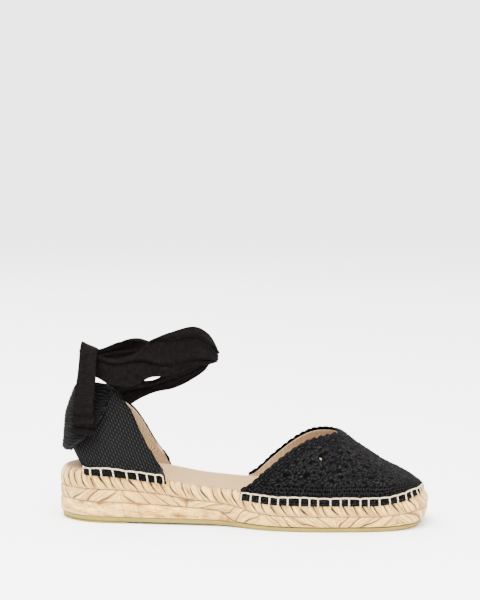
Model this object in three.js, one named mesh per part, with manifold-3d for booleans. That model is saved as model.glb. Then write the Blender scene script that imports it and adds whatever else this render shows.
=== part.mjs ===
// Espadrille sandal with a crochet vamp, a woven heel counter and an ankle ribbon, as an assembly of solids.
// Millimetres, +Z up, the heel towards -X and the toe towards +X. A right shoe: its inner side faces +Y.
// Inside the file x runs from 0 at the back of the heel, and the last group centres the shoe on its origin.

import * as THREE from "three";
import { mergeVertices } from "three/addons/utils/BufferGeometryUtils.js";
import Module from "manifold-3d";

const wasm = await Module();
wasm.setup();

// Driving dimensions of the sole
const soleLength = 255;
const ballWidth = 91;
const waistWidth = 61;
const heelWidth = 66;
const heelHeight = 35.5;
const foreHeight = 23;
const toeSpring = 0.7;
const toeLift = 3;
const toeTuck = 2.2;
const toeShoulder = 4;
const rubberThickness = 2.9;
const rubberLip = 0.3;
const rubberTaper = 0.7;
const heelLiftThickness = 1.2;
const heelLiftLength = 50;
const upperBraidHeight = 12.2;
const wedgeHeight = 10;
const wedgeLength = 125;
const insoleThickness = 1.8;
const insoleInset = 3.8;
const braidPitch = 7;
const strandDepth = 0.7;
const bandBulge = 1.7;
const shoulderInset = 3.2;

// Driving dimensions of the uppers
const vampWall = 2.2;
const instepRise = 44;
const hemDrop = 4.8;
const hemOut = 0.4;
const hemLift = 0.6;
const counterWall = 2;
const counterHeight = 96;
const counterLength = 75;
const counterBackInset = 16;
const tabWall = 1.5;
const tabBottom = 48.5;
const tabHeight = 45;
const tabLength = 38;

// Driving dimensions of the ribbon
const ribbonThickness = 1.3;
const ribbonWidth = 20;
const loopWidth = 62;
const loopHeight = 135.5;
const strapHeight = 124;

const clearance = 0.3;
const insoleProud = 0.5;
const insoleRecess = insoleThickness + clearance - insoleProud;

// Plan of the sole: width across, and how far its middle swings to the inner side.
const planRows = [
  { at: 0.0, width: 0.98 * heelWidth, swing: 0.0 * ballWidth },
  { at: 0.14, width: 1.0 * heelWidth, swing: 0.0 * ballWidth },
  { at: 0.28, width: 0.98 * heelWidth, swing: -0.012 * ballWidth },
  { at: 0.44, width: 1.0 * waistWidth, swing: -0.03 * ballWidth },
  { at: 0.58, width: 0.92 * ballWidth, swing: -0.03 * ballWidth },
  { at: 0.7, width: 1.0 * ballWidth, swing: 0.0 * ballWidth },
  { at: 0.83, width: 0.94 * ballWidth, swing: 0.025 * ballWidth },
  { at: 1.0, width: 0.82 * ballWidth, swing: 0.05 * ballWidth },
];
const heelRound = { share: 0.135, power: 2.0 };
const toeRound = { share: 0.18, power: 3.0 };

// Levels along the sole: how far its top has climbed to the heel's height, the height of the upper braid,
// the height of the heel's wedge, and the rises of the arch and of the toe.
const levelRows = [
  { at: 0.0, climb: 1.0, upper: 1.0, wedge: 1.0, arch: 1.0, spring: 0.0 },
  { at: 0.12, climb: 0.98, upper: 0.95, wedge: 1.0, arch: 1.0, spring: 0.0 },
  { at: 0.28, climb: 0.68, upper: 0.8, wedge: 0.9, arch: 1.0, spring: 0.0 },
  { at: 0.38, climb: 0.38, upper: 0.79, wedge: 0.77, arch: 1.0, spring: 0.0 },
  { at: 0.44, climb: 0.28, upper: 0.8, wedge: 0.68, arch: 0.85, spring: 0.0 },
  { at: 0.495, climb: 0.16, upper: 0.84, wedge: 0.01, arch: 0.55, spring: 0.0 },
  { at: 0.54, climb: 0.08, upper: 0.97, wedge: 0.01, arch: 0.25, spring: 0.0 },
  { at: 0.62, climb: 0.0, upper: 1.0, wedge: 0.01, arch: 0.0, spring: 0.0 },
  { at: 0.86, climb: 0.0, upper: 1.0, wedge: 0.01, arch: 0.0, spring: 0.0 },
  { at: 0.93, climb: 0.0, upper: 1.0, wedge: 0.01, arch: 0.0, spring: 0.3 },
  { at: 1.0, climb: 0.0, upper: 1.0, wedge: 0.01, arch: 0.0, spring: 1.0 },
];

// Value of one column of a table at a share of the way along, by a smooth curve that never overshoots a row.
function column(rows, name, at) {
  const last = rows.length - 1;
  let i = 0;
  while (i < last - 1 && at > rows[i + 1].at) i += 1;
  const slope = (k) => {
    if (k === 0 || k === last) return 0;
    const before = (rows[k][name] - rows[k - 1][name]) / (rows[k].at - rows[k - 1].at);
    const after = (rows[k + 1][name] - rows[k][name]) / (rows[k + 1].at - rows[k].at);
    return before * after <= 0 ? 0 : (2 * before * after) / (before + after);
  };
  const span = rows[i + 1].at - rows[i].at;
  const t = THREE.MathUtils.clamp((at - rows[i].at) / span, 0, 1);
  const rise = t * t * (3 - 2 * t);
  const leave = t * (1 - t) * (1 - t) * span * slope(i);
  const arrive = t * t * (t - 1) * span * slope(i + 1);
  return rows[i][name] * (1 - rise) + rows[i + 1][name] * rise + leave + arrive;
}

// Share of the full width that the round ends of the sole leave.
function endRound(at) {
  const fromHeel = Math.max(0, 1 - at / heelRound.share);
  const fromToe = Math.max(0, 1 - (1 - at) / toeRound.share);
  const heel = Math.max(0, 1 - fromHeel ** heelRound.power) ** (1 / heelRound.power);
  const toe = Math.max(0, 1 - fromToe ** toeRound.power) ** (1 / toeRound.power);
  return heel * toe;
}

const swing = (at) => column(planRows, "swing", at);
const halfWidth = (at) => 0.5 * column(planRows, "width", at) * endRound(at);

// Outline of the sole as a closed curve: out along the outer side, round the toe and back on the inner side.
const sideStations = 48;
const outlinePoints = [];
for (let i = 0; i < 2 * sideStations; i += 1) {
  const at = (1 - Math.cos((Math.PI * i) / sideStations)) / 2;
  const side = i < sideStations ? -1 : 1;
  outlinePoints.push(new THREE.Vector3(at * soleLength, swing(at) + side * halfWidth(at), 0));
}
const outline = new THREE.CatmullRomCurve3(outlinePoints, true);
outline.arcLengthDivisions = 1200;
const perimeter = outline.getLength();

const share = (x) => THREE.MathUtils.clamp(x / soleLength, 0, 1);
const spring = (x) => toeSpring * column(levelRows, "spring", share(x));
const treadLevel = (x) => (heelLiftThickness + clearance) * column(levelRows, "arch", share(x)) + spring(x);
const rubberTop = (x) => treadLevel(x) + rubberThickness;
const wedgeTop = (x) => rubberTop(x) + clearance + wedgeHeight * column(levelRows, "wedge", share(x));
const toeShare = (x) => column(levelRows, "spring", share(x));
const heelClimb = (x) => (heelHeight - foreHeight) * column(levelRows, "climb", share(x));
const soleTop = (x) => foreHeight + heelClimb(x) + toeLift * toeShare(x);
const upperLine = (x) => soleTop(x) - upperBraidHeight * column(levelRows, "upper", share(x));

// Closed surface over rings with as many points each. Open ends are filled by a ladder across the ring.
function skin(rings, joined = false) {
  const count = rings[0].length;
  const index = [];
  const spans = joined ? rings.length : rings.length - 1;
  for (let r = 0; r < spans; r += 1) {
    const here = r * count;
    const next = ((r + 1) % rings.length) * count;
    for (let k = 0; k < count; k += 1) {
      const after = (k + 1) % count;
      index.push(here + k, here + after, next + after);
      index.push(here + k, next + after, next + k);
    }
  }
  if (!joined) {
    const end = (rings.length - 1) * count;
    for (let a = 0, b = count - 1; a + 1 <= b - 1 || a + 1 === b; a += 1, b -= 1) {
      if (a + 1 < b) {
        index.push(b, a + 1, a);
        index.push(end + a, end + a + 1, end + b);
      }
      if (a + 1 < b - 1) {
        index.push(b, b - 1, a + 1);
        index.push(end + b, end + a + 1, end + b - 1);
      }
    }
  }
  const geometry = new THREE.BufferGeometry().setFromPoints(rings.flat());
  geometry.setIndex(index);
  return geometry;
}

// A closed geometry as a solid, with its faces turned outwards.
function solid(geometry) {
  const bare = geometry.clone();
  bare.deleteAttribute("normal");
  bare.deleteAttribute("uv");
  const merged = mergeVertices(bare, 1e-4);
  const vertProperties = merged.attributes.position.array;
  const triVerts = new Uint32Array(merged.index.array);
  const made = new wasm.Manifold(new wasm.Mesh({ numProp: 3, vertProperties, triVerts }));
  if (made.volume() > 0) return made;
  triVerts.reverse();
  return new wasm.Manifold(new wasm.Mesh({ numProp: 3, vertProperties, triVerts }));
}

function geometryOf(made) {
  const mesh = made.getMesh();
  const geometry = new THREE.BufferGeometry();
  geometry.setAttribute("position", new THREE.BufferAttribute(mesh.vertProperties, 3));
  geometry.setIndex(new THREE.BufferAttribute(mesh.triVerts, 1));
  geometry.computeVertexNormals();
  return geometry;
}

// Point on the outline at a share of the way round, moved outwards by some distance.
function outlinePoint(around, outwards) {
  const turn = ((around % 1) + 1) % 1;
  const point = outline.getPointAt(turn);
  const tangent = outline.getTangentAt(turn);
  return new THREE.Vector3(point.x + tangent.y * outwards, point.y - tangent.x * outwards, 0);
}

// A layer of the sole. Each row of its side says how far up it is and how far it stands out of the outline.
function layer(columns, bottom, top, side) {
  const rings = side.map(({ up, out, lean = 0, ribs = 0, tuck = 0, drop = 0 }) => {
    const ring = [];
    for (let k = 0; k < columns; k += 1) {
      const rib = k % 2 === 0 ? 0 : -ribs;
      const around = (k + 0.5 + lean) / columns;
      const pull = tuck * toeShare(outlinePoint(around, 0).x);
      const point = outlinePoint(around, out + rib - pull);
      point.z = THREE.MathUtils.lerp(bottom(point.x), top(point.x), up) - drop;
      ring.push(point);
    }
    return ring;
  });
  return solid(skin(rings));
}

function box(fromX, toX, fromZ, toZ) {
  const geometry = new THREE.BoxGeometry(toX - fromX, 4 * ballWidth, toZ - fromZ);
  geometry.translate((fromX + toX) / 2, 0, (fromZ + toZ) / 2);
  return solid(geometry);
}

const smoothColumns = 84;
const braidColumns = 2 * Math.round(perimeter / braidPitch);

function makeHeelLift() {
  const side = [
    { up: 0, out: rubberLip - rubberTaper - bandBulge },
    { up: 1, out: -bandBulge },
  ];
  const sheet = layer(smoothColumns, () => 0, () => heelLiftThickness, side);
  return sheet.intersect(box(-soleLength, heelLiftLength, -heelHeight, heelHeight));
}

function makeOutsole() {
  const side = [
    { up: 0, out: rubberLip - rubberTaper - bandBulge, tuck: 1.6 * toeTuck },
    { up: 0.5, out: rubberLip - bandBulge, tuck: 1.2 * toeTuck },
    { up: 1, out: rubberLip - bandBulge, tuck: toeTuck },
  ];
  return layer(smoothColumns, treadLevel, rubberTop, side);
}

// The side of a braid band is round, and its strands lean forward as they rise.
function bandSide(topInset, lean, tuck) {
  return [
    { up: 0, out: -bandBulge, ribs: 0, lean: 0, tuck },
    { up: 0.3, out: -0.1 * bandBulge, ribs: strandDepth, lean: 0.3 * lean, tuck: 0.7 * tuck },
    { up: 0.65, out: -0.1 * topInset, ribs: strandDepth, lean: 0.65 * lean, tuck: 0.3 * tuck },
    { up: 1, out: -topInset, ribs: 0, lean, tuck: 0 },
  ];
}

function makeWedge() {
  const bottom = (x) => rubberTop(x) + clearance;
  const whole = layer(braidColumns, bottom, wedgeTop, bandSide(bandBulge, 0, 0));
  return whole.intersect(box(-soleLength, wedgeLength, -heelHeight, 2 * heelHeight));
}

function makeLowerBraid() {
  const bottom = (x) => wedgeTop(x) + clearance;
  const top = (x) => upperLine(x) - clearance;
  return layer(braidColumns, bottom, top, bandSide(bandBulge, -1, toeTuck));
}

function makeUpperBraid() {
  const side = bandSide(shoulderInset, -1.4, 0);
  side[2].tuck = 0.6 * toeShoulder;
  side[3].tuck = toeShoulder;
  side.push({ up: 1, out: clearance - insoleInset, tuck: toeShoulder, lean: -1.4 });
  side.push({ up: 1, out: clearance - insoleInset, tuck: toeShoulder, lean: -1.4, drop: insoleRecess });
  return layer(braidColumns, upperLine, soleTop, side);
}

function makeInsole() {
  const bottom = (x) => soleTop(x) + insoleProud - insoleThickness;
  const top = (x) => soleTop(x) + insoleProud;
  const side = [
    { up: 0, out: -insoleInset, tuck: toeShoulder },
    { up: 0.7, out: -insoleInset, tuck: toeShoulder },
    { up: 1, out: -insoleInset - 0.5, tuck: toeShoulder },
  ];
  return layer(smoothColumns, bottom, top, side);
}

// The room that the sole takes under the uppers, with their clearance.
function soleRoom() {
  const side = [
    { up: 0, out: 1.6 * clearance },
    { up: 0.65, out: 1.6 * clearance - 0.1 * shoulderInset, tuck: 0.6 * toeShoulder },
    { up: 1, out: 1.6 * clearance - shoulderInset, tuck: toeShoulder },
  ];
  return layer(smoothColumns, upperLine, (x) => soleTop(x) + clearance, side);
}

// The room that the insole takes, with its clearance.
function insoleRoom() {
  const top = (x) => soleTop(x) + insoleProud + clearance;
  const side = [
    { up: 0, out: clearance - insoleInset, tuck: toeShoulder },
    { up: 1, out: clearance - insoleInset, tuck: toeShoulder },
  ];
  return layer(smoothColumns, (x) => soleTop(x) - insoleThickness, top, side);
}

// Ridge of the vamp over the sole, as a share of the rise of the instep.
const ridgeRows = [
  { at: 0.45, ridge: 1.2 },
  { at: 0.62, ridge: 1.07 },
  { at: 0.7, ridge: 1.0 },
  { at: 0.76, ridge: 0.9 },
  { at: 0.8, ridge: 0.73 },
  { at: 0.843, ridge: 0.56 },
  { at: 0.88, ridge: 0.42 },
  { at: 0.915, ridge: 0.31 },
  { at: 0.95, ridge: 0.18 },
  { at: 0.97, ridge: 0.08 },
  { at: 0.985, ridge: 0.03 },
];
const archPower = 2.3;
const domeShares = [0.99, 0.95, 0.88, 0.78, 0.65, 0.5, 0.34, 0.17, 0.04];

// The closed form under the vamp's surface, made smaller all round by an inset.
function vampForm(inset, skirt) {
  const count = 72;
  const edge = (out, tuck) => {
    const ring = [];
    for (let k = 0; k < count; k += 1) {
      const around = (k + 0.5) / count;
      const pull = tuck * toeShare(outlinePoint(around, 0).x);
      ring.push(outlinePoint(around, out - inset - pull));
    }
    return ring;
  };
  const rings = [];
  const skirtRing = (out, tuck, drop) => {
    const ring = edge(out, tuck);
    ring.forEach((point) => {
      point.z = soleTop(point.x) - drop * (1 - hemLift * toeShare(point.x));
    });
    rings.push(ring);
  };
  skirtRing(hemOut, 0.9 * toeShoulder, skirt);
  skirtRing(hemOut - 0.2 * shoulderInset, 0.95 * toeShoulder, 0.3 * skirt);
  const base = edge(hemOut - 0.35 * shoulderInset, toeShoulder);
  domeShares.forEach((reach) => {
    const ring = base.map((point, k) => {
      const across = base[count - 1 - k];
      const middle = point.clone().add(across).multiplyScalar(0.5);
      const moved = middle.clone().lerp(point, reach);
      const ridge = Math.max(0.2, instepRise * column(ridgeRows, "ridge", share(moved.x)) - inset);
      moved.z = soleTop(moved.x) + ridge * (1 - reach ** archPower) ** (1 / archPower);
      return moved;
    });
    rings.push(ring);
  });
  return solid(skin(rings));
}

// A solid between two upright profiles, one on the outer side of the shoe and one on its inner side.
function betweenProfiles(outer, inner, reach) {
  const place = (points, y) => points.map(([x, z]) => new THREE.Vector3(x, y, z));
  const count = outer.length;
  const index = [];
  for (let k = 0; k < count; k += 1) {
    const after = (k + 1) % count;
    index.push(k, after, count + after, k, count + after, count + k);
  }
  const flat = outer.map(([x, z]) => new THREE.Vector2(x, z));
  THREE.ShapeUtils.triangulateShape(flat, []).forEach(([a, b, c]) => {
    index.push(c, b, a, count + a, count + b, count + c);
  });
  const points = [...place(outer, -reach), ...place(inner, reach)];
  const geometry = new THREE.BufferGeometry().setFromPoints(points);
  geometry.setIndex(index);
  return solid(geometry);
}

// Rim of the vamp seen from the side, from its back corners up to the apex of the throat.
const rimRows = [
  { at: 0.5, outer: -0.5, inner: -0.5 },
  { at: 0.503, outer: 0.03, inner: 0.03 },
  { at: 0.523, outer: 0.11, inner: 0.11 },
  { at: 0.567, outer: 0.36, inner: 0.34 },
  { at: 0.617, outer: 0.62, inner: 0.59 },
  { at: 0.655, outer: 0.77, inner: 0.76 },
  { at: 0.69, outer: 0.86, inner: 0.86 },
  { at: 0.73, outer: 0.895, inner: 0.895 },
  { at: 0.765, outer: 0.9, inner: 0.9 },
  { at: 0.77, outer: 1.6, inner: 1.6 },
];

function makeVamp() {
  const rim = (name) => {
    const points = rimRows.map((row) => {
      const x = row.at * soleLength;
      return [x, soleTop(x) + row[name] * instepRise];
    });
    return [[-soleLength, 0], ...points, [-soleLength, 2 * instepRise]];
  };
  return vampForm(0, hemDrop)
    .subtract(vampForm(vampWall, 2 * hemDrop))
    .subtract(soleRoom())
    .subtract(insoleRoom())
    .subtract(betweenProfiles(rim("outer"), rim("inner"), ballWidth));
}

// Sections of the heel counter up its height: its back, its half width and how square its corners are.
const counterRows = [
  { at: 0.3, back: 1.1 * counterBackInset, half: 0.5 * heelWidth + hemOut, square: 4.0 },
  { at: 0.385, back: 1.0 * counterBackInset, half: 0.485 * heelWidth, square: 3.6 },
  { at: 0.45, back: 0.73 * counterBackInset, half: 0.465 * heelWidth, square: 3.0 },
  { at: 0.55, back: 0.45 * counterBackInset, half: 0.43 * heelWidth, square: 2.5 },
  { at: 0.7, back: 0.38 * counterBackInset, half: 0.37 * heelWidth, square: 2.2 },
  { at: 0.85, back: 0.5 * counterBackInset, half: 0.32 * heelWidth, square: 2.1 },
  { at: 1.02, back: 0.78 * counterBackInset, half: 0.28 * heelWidth, square: 2.0 },
];
const counterLevels = [0.3, 0.385, 0.42, 0.46, 0.52, 0.6, 0.7, 0.8, 0.9, 1.02];
const counterRound = 0.16 * soleLength;
const roundSteps = 9;

// The closed form inside the counter's surface, moved outwards all round, and further still at its back.
function counterForm(out, backOut) {
  const rings = counterLevels.map((level) => {
    const back = column(counterRows, "back", level) - out(level) - backOut(level);
    const half = column(counterRows, "half", level) + out(level);
    const square = column(counterRows, "square", level);
    const z = level * counterHeight;
    const ring = [new THREE.Vector3(1.4 * counterLength, half, z)];
    for (let k = -roundSteps; k <= roundSteps; k += 1) {
      const angle = (Math.PI / 2) * (k / roundSteps);
      const forward = counterRound * (1 - Math.cos(angle) ** (2 / square));
      const across = half * Math.abs(Math.sin(angle)) ** (2 / square);
      ring.push(new THREE.Vector3(back + forward, -Math.sign(k) * across, z));
    }
    ring.push(new THREE.Vector3(1.4 * counterLength, -half, z));
    return ring;
  });
  return solid(skin(rings));
}

// Front and top edges of the counter seen from the side, from its hem up and round to the back.
const counterEdge = [
  { along: 1.03, outer: 0.28, inner: 0.18 },
  { along: 1.01, outer: 0.37, inner: 0.26 },
  { along: 0.82, outer: 0.6, inner: 0.53 },
  { along: 0.69, outer: 0.8, inner: 0.71 },
  { along: 0.64, outer: 0.855, inner: 0.76 },
  { along: 0.6, outer: 0.89, inner: 0.79 },
  { along: 0.555, outer: 0.918, inner: 0.82 },
  { along: 0.47, outer: 0.96, inner: 0.88 },
  { along: 0.37, outer: 0.985, inner: 0.93 },
  { along: 0.2, outer: 0.97, inner: 0.95 },
  { along: 0.08, outer: 0.935, inner: 0.935 },
  { along: -0.2, outer: 0.92, inner: 0.92 },
];

function insideEdge() {
  const side = (name) => {
    const points = counterEdge.map((row) => [row.along * counterLength, row[name] * counterHeight]);
    return [...points, [-0.2 * counterLength, 0.2 * counterHeight]];
  };
  return betweenProfiles(side("outer"), side("inner"), 0.55 * heelWidth);
}

const none = () => 0;

function makeCounter() {
  const shell = counterForm(none, none).subtract(counterForm(() => -counterWall, none));
  return shell.intersect(insideEdge()).subtract(soleRoom()).subtract(insoleRoom());
}

// How far the heel tab stands off the counter, over the ribbon that it holds, at each height.
const tabRows = [
  { at: 0.4, stand: 1.5 * ribbonThickness, back: 3.6 * ribbonThickness },
  { at: 0.48, stand: 1.5 * ribbonThickness, back: 2.6 * ribbonThickness },
  { at: 0.6, stand: 1.4 * ribbonThickness, back: 0.9 * ribbonThickness },
  { at: 0.72, stand: 1.4 * ribbonThickness, back: 0.1 * ribbonThickness },
  { at: 0.82, stand: 0.6 * ribbonThickness, back: 0.1 * ribbonThickness },
  { at: 0.9, stand: 0.0, back: 0.0 },
  { at: 1.02, stand: 0.0, back: 0.0 },
];
const tabStand = (level) => clearance + column(tabRows, "stand", level);
const tabBack = (level) => column(tabRows, "back", level);

// Lower and front edge of the tab seen from the side: a level hem behind, and a diagonal over the ribbon.
const tabEdge = [
  { along: -1.0, up: 0.0 },
  { along: 0.2, up: 0.0 },
  { along: 0.42, up: 0.118 },
  { along: 0.72, up: 0.384 },
  { along: 1.0, up: 0.83 },
  { along: 1.0, up: 1.3 },
  { along: -1.0, up: 1.3 },
];

function makeHeelTab() {
  const outer = counterForm((level) => tabStand(level) + tabWall, tabBack);
  const shell = outer.subtract(counterForm(tabStand, tabBack));
  const side = tabEdge.map((row) => [row.along * tabLength, tabBottom + row.up * tabHeight]);
  return shell.intersect(betweenProfiles(side, side, ballWidth)).intersect(insideEdge());
}

// The ribbon inside the tunnel between the counter and the tab. Its mouth on the outer side is under the tab.
function makeRibbonTunnel() {
  const outer = () => clearance + ribbonThickness;
  const shell = counterForm(outer, none).subtract(counterForm(() => clearance, none));
  const low = tabBottom + 2 * ribbonThickness;
  const high = low + 0.9 * ribbonWidth;
  const mouth = (lowShare, highShare) => [
    [-tabLength, low],
    [lowShare * tabLength, low],
    [highShare * tabLength, high],
    [-tabLength, high],
  ];
  return shell.intersect(betweenProfiles(mouth(0.1, 0.5), mouth(0.68, 0.68), ballWidth));
}

// A ribbon between two edges, each a list of points, as a closed sheet with a bow across its width.
function ribbon(firstEdge, secondEdge, bows, joined = false) {
  const across = 4;
  const steps = 3 * (joined ? firstEdge.length : firstEdge.length - 1);
  const first = new THREE.CatmullRomCurve3(firstEdge, joined, "centripetal");
  const second = new THREE.CatmullRomCurve3(secondEdge, joined, "centripetal");
  const rings = [];
  for (let i = 0; i < (joined ? steps : steps + 1); i += 1) {
    const t = i / steps;
    const start = first.getPoint(t);
    const end = second.getPoint(t);
    const forward = first.getTangent(t).add(second.getTangent(t));
    const face = forward.cross(end.clone().sub(start)).normalize();
    const bow = bows * Math.sin(6 * Math.PI * t);
    const line = (side) => {
      const points = [];
      for (let k = 0; k <= across; k += 1) {
        const fold = bow * Math.sin((2 * Math.PI * k) / across);
        const point = start.clone().lerp(end, k / across);
        points.push(point.addScaledVector(face, fold + (side * ribbonThickness) / 2));
      }
      return points;
    };
    rings.push([...line(1), ...line(-1).reverse()]);
  }
  return solid(skin(rings, joined));
}

// The ankle loop from above and its lower and upper edges, from the back of the ankle along the outer side.
const loopRows = [
  { along: 0.054, out: -0.19, low: 0.737, high: 0.855 },
  { along: 0.067, out: -0.49, low: 0.736, high: 0.865 },
  { along: 0.106, out: -0.72, low: 0.736, high: 0.85 },
  { along: 0.157, out: -0.92, low: 0.7, high: 0.835 },
  { along: 0.216, out: -1.0, low: 0.706, high: 0.865 },
  { along: 0.259, out: -0.98, low: 0.746, high: 0.934 },
  { along: 0.314, out: -0.9, low: 0.755, high: 0.978 },
  { along: 0.369, out: -0.66, low: 0.792, high: 1.0 },
  { along: 0.405, out: -0.34, low: 0.799, high: 0.956 },
  { along: 0.425, out: 0.0, low: 0.803, high: 0.876 },
  { along: 0.415, out: 0.35, low: 0.79, high: 0.869 },
  { along: 0.384, out: 0.66, low: 0.765, high: 0.872 },
  { along: 0.329, out: 0.85, low: 0.735, high: 0.872 },
  { along: 0.259, out: 0.94, low: 0.708, high: 0.854 },
  { along: 0.196, out: 0.94, low: 0.708, high: 0.892 },
  { along: 0.141, out: 0.84, low: 0.708, high: 0.872 },
  { along: 0.094, out: 0.63, low: 0.715, high: 0.84 },
  { along: 0.061, out: 0.29, low: 0.73, high: 0.847 },
];

// The lower turn of the ribbon: from the tunnel's inner mouth, up beside the ankle to the front of the loop.
const lowerTurnRows = [
  { along: 0.104, out: 0.94, low: 0.41, high: 0.668 },
  { along: 0.176, out: 0.97, low: 0.545, high: 0.672 },
  { along: 0.235, out: 0.93, low: 0.607, high: 0.674 },
  { along: 0.294, out: 0.8, low: 0.637, high: 0.742 },
  { along: 0.345, out: 0.62, low: 0.687, high: 0.785 },
  { along: 0.384, out: 0.36, low: 0.743, high: 0.83 },
  { along: 0.4, out: 0.08, low: 0.785, high: 0.855 },
];

function edgeOf(rows, name) {
  return rows.map((row) => {
    const y = (row.out * loopWidth) / 2;
    return new THREE.Vector3(row.along * soleLength, y, row[name] * loopHeight);
  });
}

function makeLoop() {
  return ribbon(edgeOf(loopRows, "low"), edgeOf(loopRows, "high"), 0.4 * ribbonThickness, true);
}

function makeLowerTurn() {
  return ribbon(edgeOf(lowerTurnRows, "low"), edgeOf(lowerTurnRows, "high"), 0);
}

// The upright strap over the tab and over the back of the loop: its back edge and its front edge.
const strapRows = [
  { up: 0.485, dip: 0.0, back: 0.28, backOut: 0.74, front: 0.74, frontOut: 0.99 },
  { up: 0.6, dip: 0.0, back: 0.295, backOut: 0.7, front: 0.71, frontOut: 0.955 },
  { up: 0.71, dip: 0.0, back: 0.33, backOut: 0.65, front: 0.71, frontOut: 0.91 },
  { up: 0.83, dip: 0.01, back: 0.38, backOut: 0.61, front: 0.735, frontOut: 0.87 },
  { up: 0.96, dip: 0.03, back: 0.42, backOut: 0.6, front: 0.75, frontOut: 0.85 },
  { up: 0.99, dip: 0.03, back: 0.43, backOut: 0.48, front: 0.755, frontOut: 0.735 },
  { up: 0.96, dip: 0.03, back: 0.44, backOut: 0.36, front: 0.765, frontOut: 0.62 },
  { up: 0.86, dip: 0.02, back: 0.45, backOut: 0.35, front: 0.77, frontOut: 0.61 },
];

function makeStrap() {
  const edge = (name, out, dips) =>
    strapRows.map((row) => {
      const z = (row.up - dips * row.dip) * strapHeight;
      return new THREE.Vector3(row[name] * tabLength, (-row[out] * loopWidth) / 2, z);
    });
  return ribbon(edge("back", "backOut", 0), edge("front", "frontOut", 1), 0);
}

const colours = {
  rubber: 0xc9c08a,
  jute: 0xd9c39a,
  cloth: 0xcdb99a,
  crochet: 0x242424,
  woven: 0x2a2a2d,
  ribbon: 0x211e1e,
};

const shoe = new THREE.Group();

function add(name, made, colour, roughness) {
  const material = new THREE.MeshStandardMaterial({ color: colour, roughness, metalness: 0 });
  const mesh = new THREE.Mesh(geometryOf(made), material);
  mesh.name = name;
  shoe.add(mesh);
}

add("heel_lift", makeHeelLift(), colours.rubber, 0.7);
add("outsole", makeOutsole(), colours.rubber, 0.7);
add("braid_wedge", makeWedge(), colours.jute, 0.9);
add("braid_lower", makeLowerBraid(), colours.jute, 0.9);
add("braid_upper", makeUpperBraid(), colours.jute, 0.9);
add("insole", makeInsole(), colours.cloth, 0.85);
add("vamp", makeVamp(), colours.crochet, 0.9);
add("counter", makeCounter(), colours.woven, 0.9);
add("heel_tab", makeHeelTab(), colours.woven, 0.9);
add("ribbon_tunnel", makeRibbonTunnel(), colours.ribbon, 0.85);
add("ribbon_strap", makeStrap(), colours.ribbon, 0.85);
add("ribbon_loop", makeLoop(), colours.ribbon, 0.85);
add("ribbon_lower_turn", makeLowerTurn(), colours.ribbon, 0.85);

// Centre the sole on the origin.
const sides = outline.getSpacedPoints(400).map((point) => point.y);
shoe.position.set(-soleLength / 2, -(Math.min(...sides) + Math.max(...sides)) / 2, 0);

const espadrille = new THREE.Group();
espadrille.add(shoe);

export default espadrille;
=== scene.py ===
import math

import bmesh
import bpy
import numpy as np
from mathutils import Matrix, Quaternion, Vector


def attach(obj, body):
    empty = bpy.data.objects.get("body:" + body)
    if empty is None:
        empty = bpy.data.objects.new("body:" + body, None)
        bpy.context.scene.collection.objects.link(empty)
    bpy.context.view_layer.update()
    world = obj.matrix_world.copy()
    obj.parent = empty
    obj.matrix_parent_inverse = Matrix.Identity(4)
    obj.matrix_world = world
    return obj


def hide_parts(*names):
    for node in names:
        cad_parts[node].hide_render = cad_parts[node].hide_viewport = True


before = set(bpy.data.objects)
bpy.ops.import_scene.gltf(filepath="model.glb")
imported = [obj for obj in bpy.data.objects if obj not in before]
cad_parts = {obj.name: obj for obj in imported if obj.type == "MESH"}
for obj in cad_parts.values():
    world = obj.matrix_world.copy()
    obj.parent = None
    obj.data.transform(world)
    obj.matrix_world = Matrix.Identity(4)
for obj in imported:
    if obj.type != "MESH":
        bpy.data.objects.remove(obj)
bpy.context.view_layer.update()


# The camera
# A long lens at the photograph's own angle, 5 degrees towards the toe and 9.3 degrees above the floor. The
# shoe stands in the lower part of an upright frame of 480 by 600: the point that the camera looks at is that
# many pixels off the frame's middle, for a lens that is as long as so many pixels.
AIM_HEIGHT, DISTANCE = 0.05, 1.6
PIXELS_RIGHT, PIXELS_BELOW, LENS_PIXELS = 3.87, 147.33, 2312
azimuth = math.radians(5)
elevation = math.radians(9.3)
backwards = Vector((
    math.sin(azimuth) * math.cos(elevation),
    -math.cos(azimuth) * math.cos(elevation),
    math.sin(elevation),
))
camera = bpy.data.objects.new("camera", bpy.data.cameras.new("camera"))
bpy.context.scene.collection.objects.link(camera)
bpy.context.scene.camera = camera
camera.data.lens = 138.4
camera.location = Vector((0, 0, AIM_HEIGHT)) + DISTANCE * backwards
look = (-backwards).to_track_quat("-Z", "Y")
seen = Vector((PIXELS_RIGHT, -PIXELS_BELOW, -LENS_PIXELS)).normalized()
tip = seen.rotation_difference(Vector((0, 0, -1)))
roll = Quaternion((0, 0, 1), math.radians(0.6))
camera.rotation_mode = "QUATERNION"
camera.rotation_quaternion = look @ roll @ tip


# The floor and the light
# A plain pale studio sweep that turns up all round, so that it fills every view, under one broad soft light
# from above and two weaker ones from the sides.
def linear(hex_colour):
    """A colour as the shader takes it, from its sRGB hex value."""
    values = [int(hex_colour[i:i + 2], 16) / 255 for i in (1, 3, 5)]
    return [v / 12.92 if v <= 0.04045 else ((v + 0.055) / 1.055) ** 2.4 for v in values] + [1.0]


def node(material, kind, links=None, **settings):
    """Adds a node with its settings. Each link is a value for a socket, or the socket of another node."""
    made = material.node_tree.nodes.new(kind)
    for name, value in settings.items():
        setattr(made, name, value)
    for name, value in (links or {}).items():
        if isinstance(value, bpy.types.NodeSocket):
            material.node_tree.links.new(value, made.inputs[name])
        else:
            made.inputs[name].default_value = value
    return made


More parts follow.
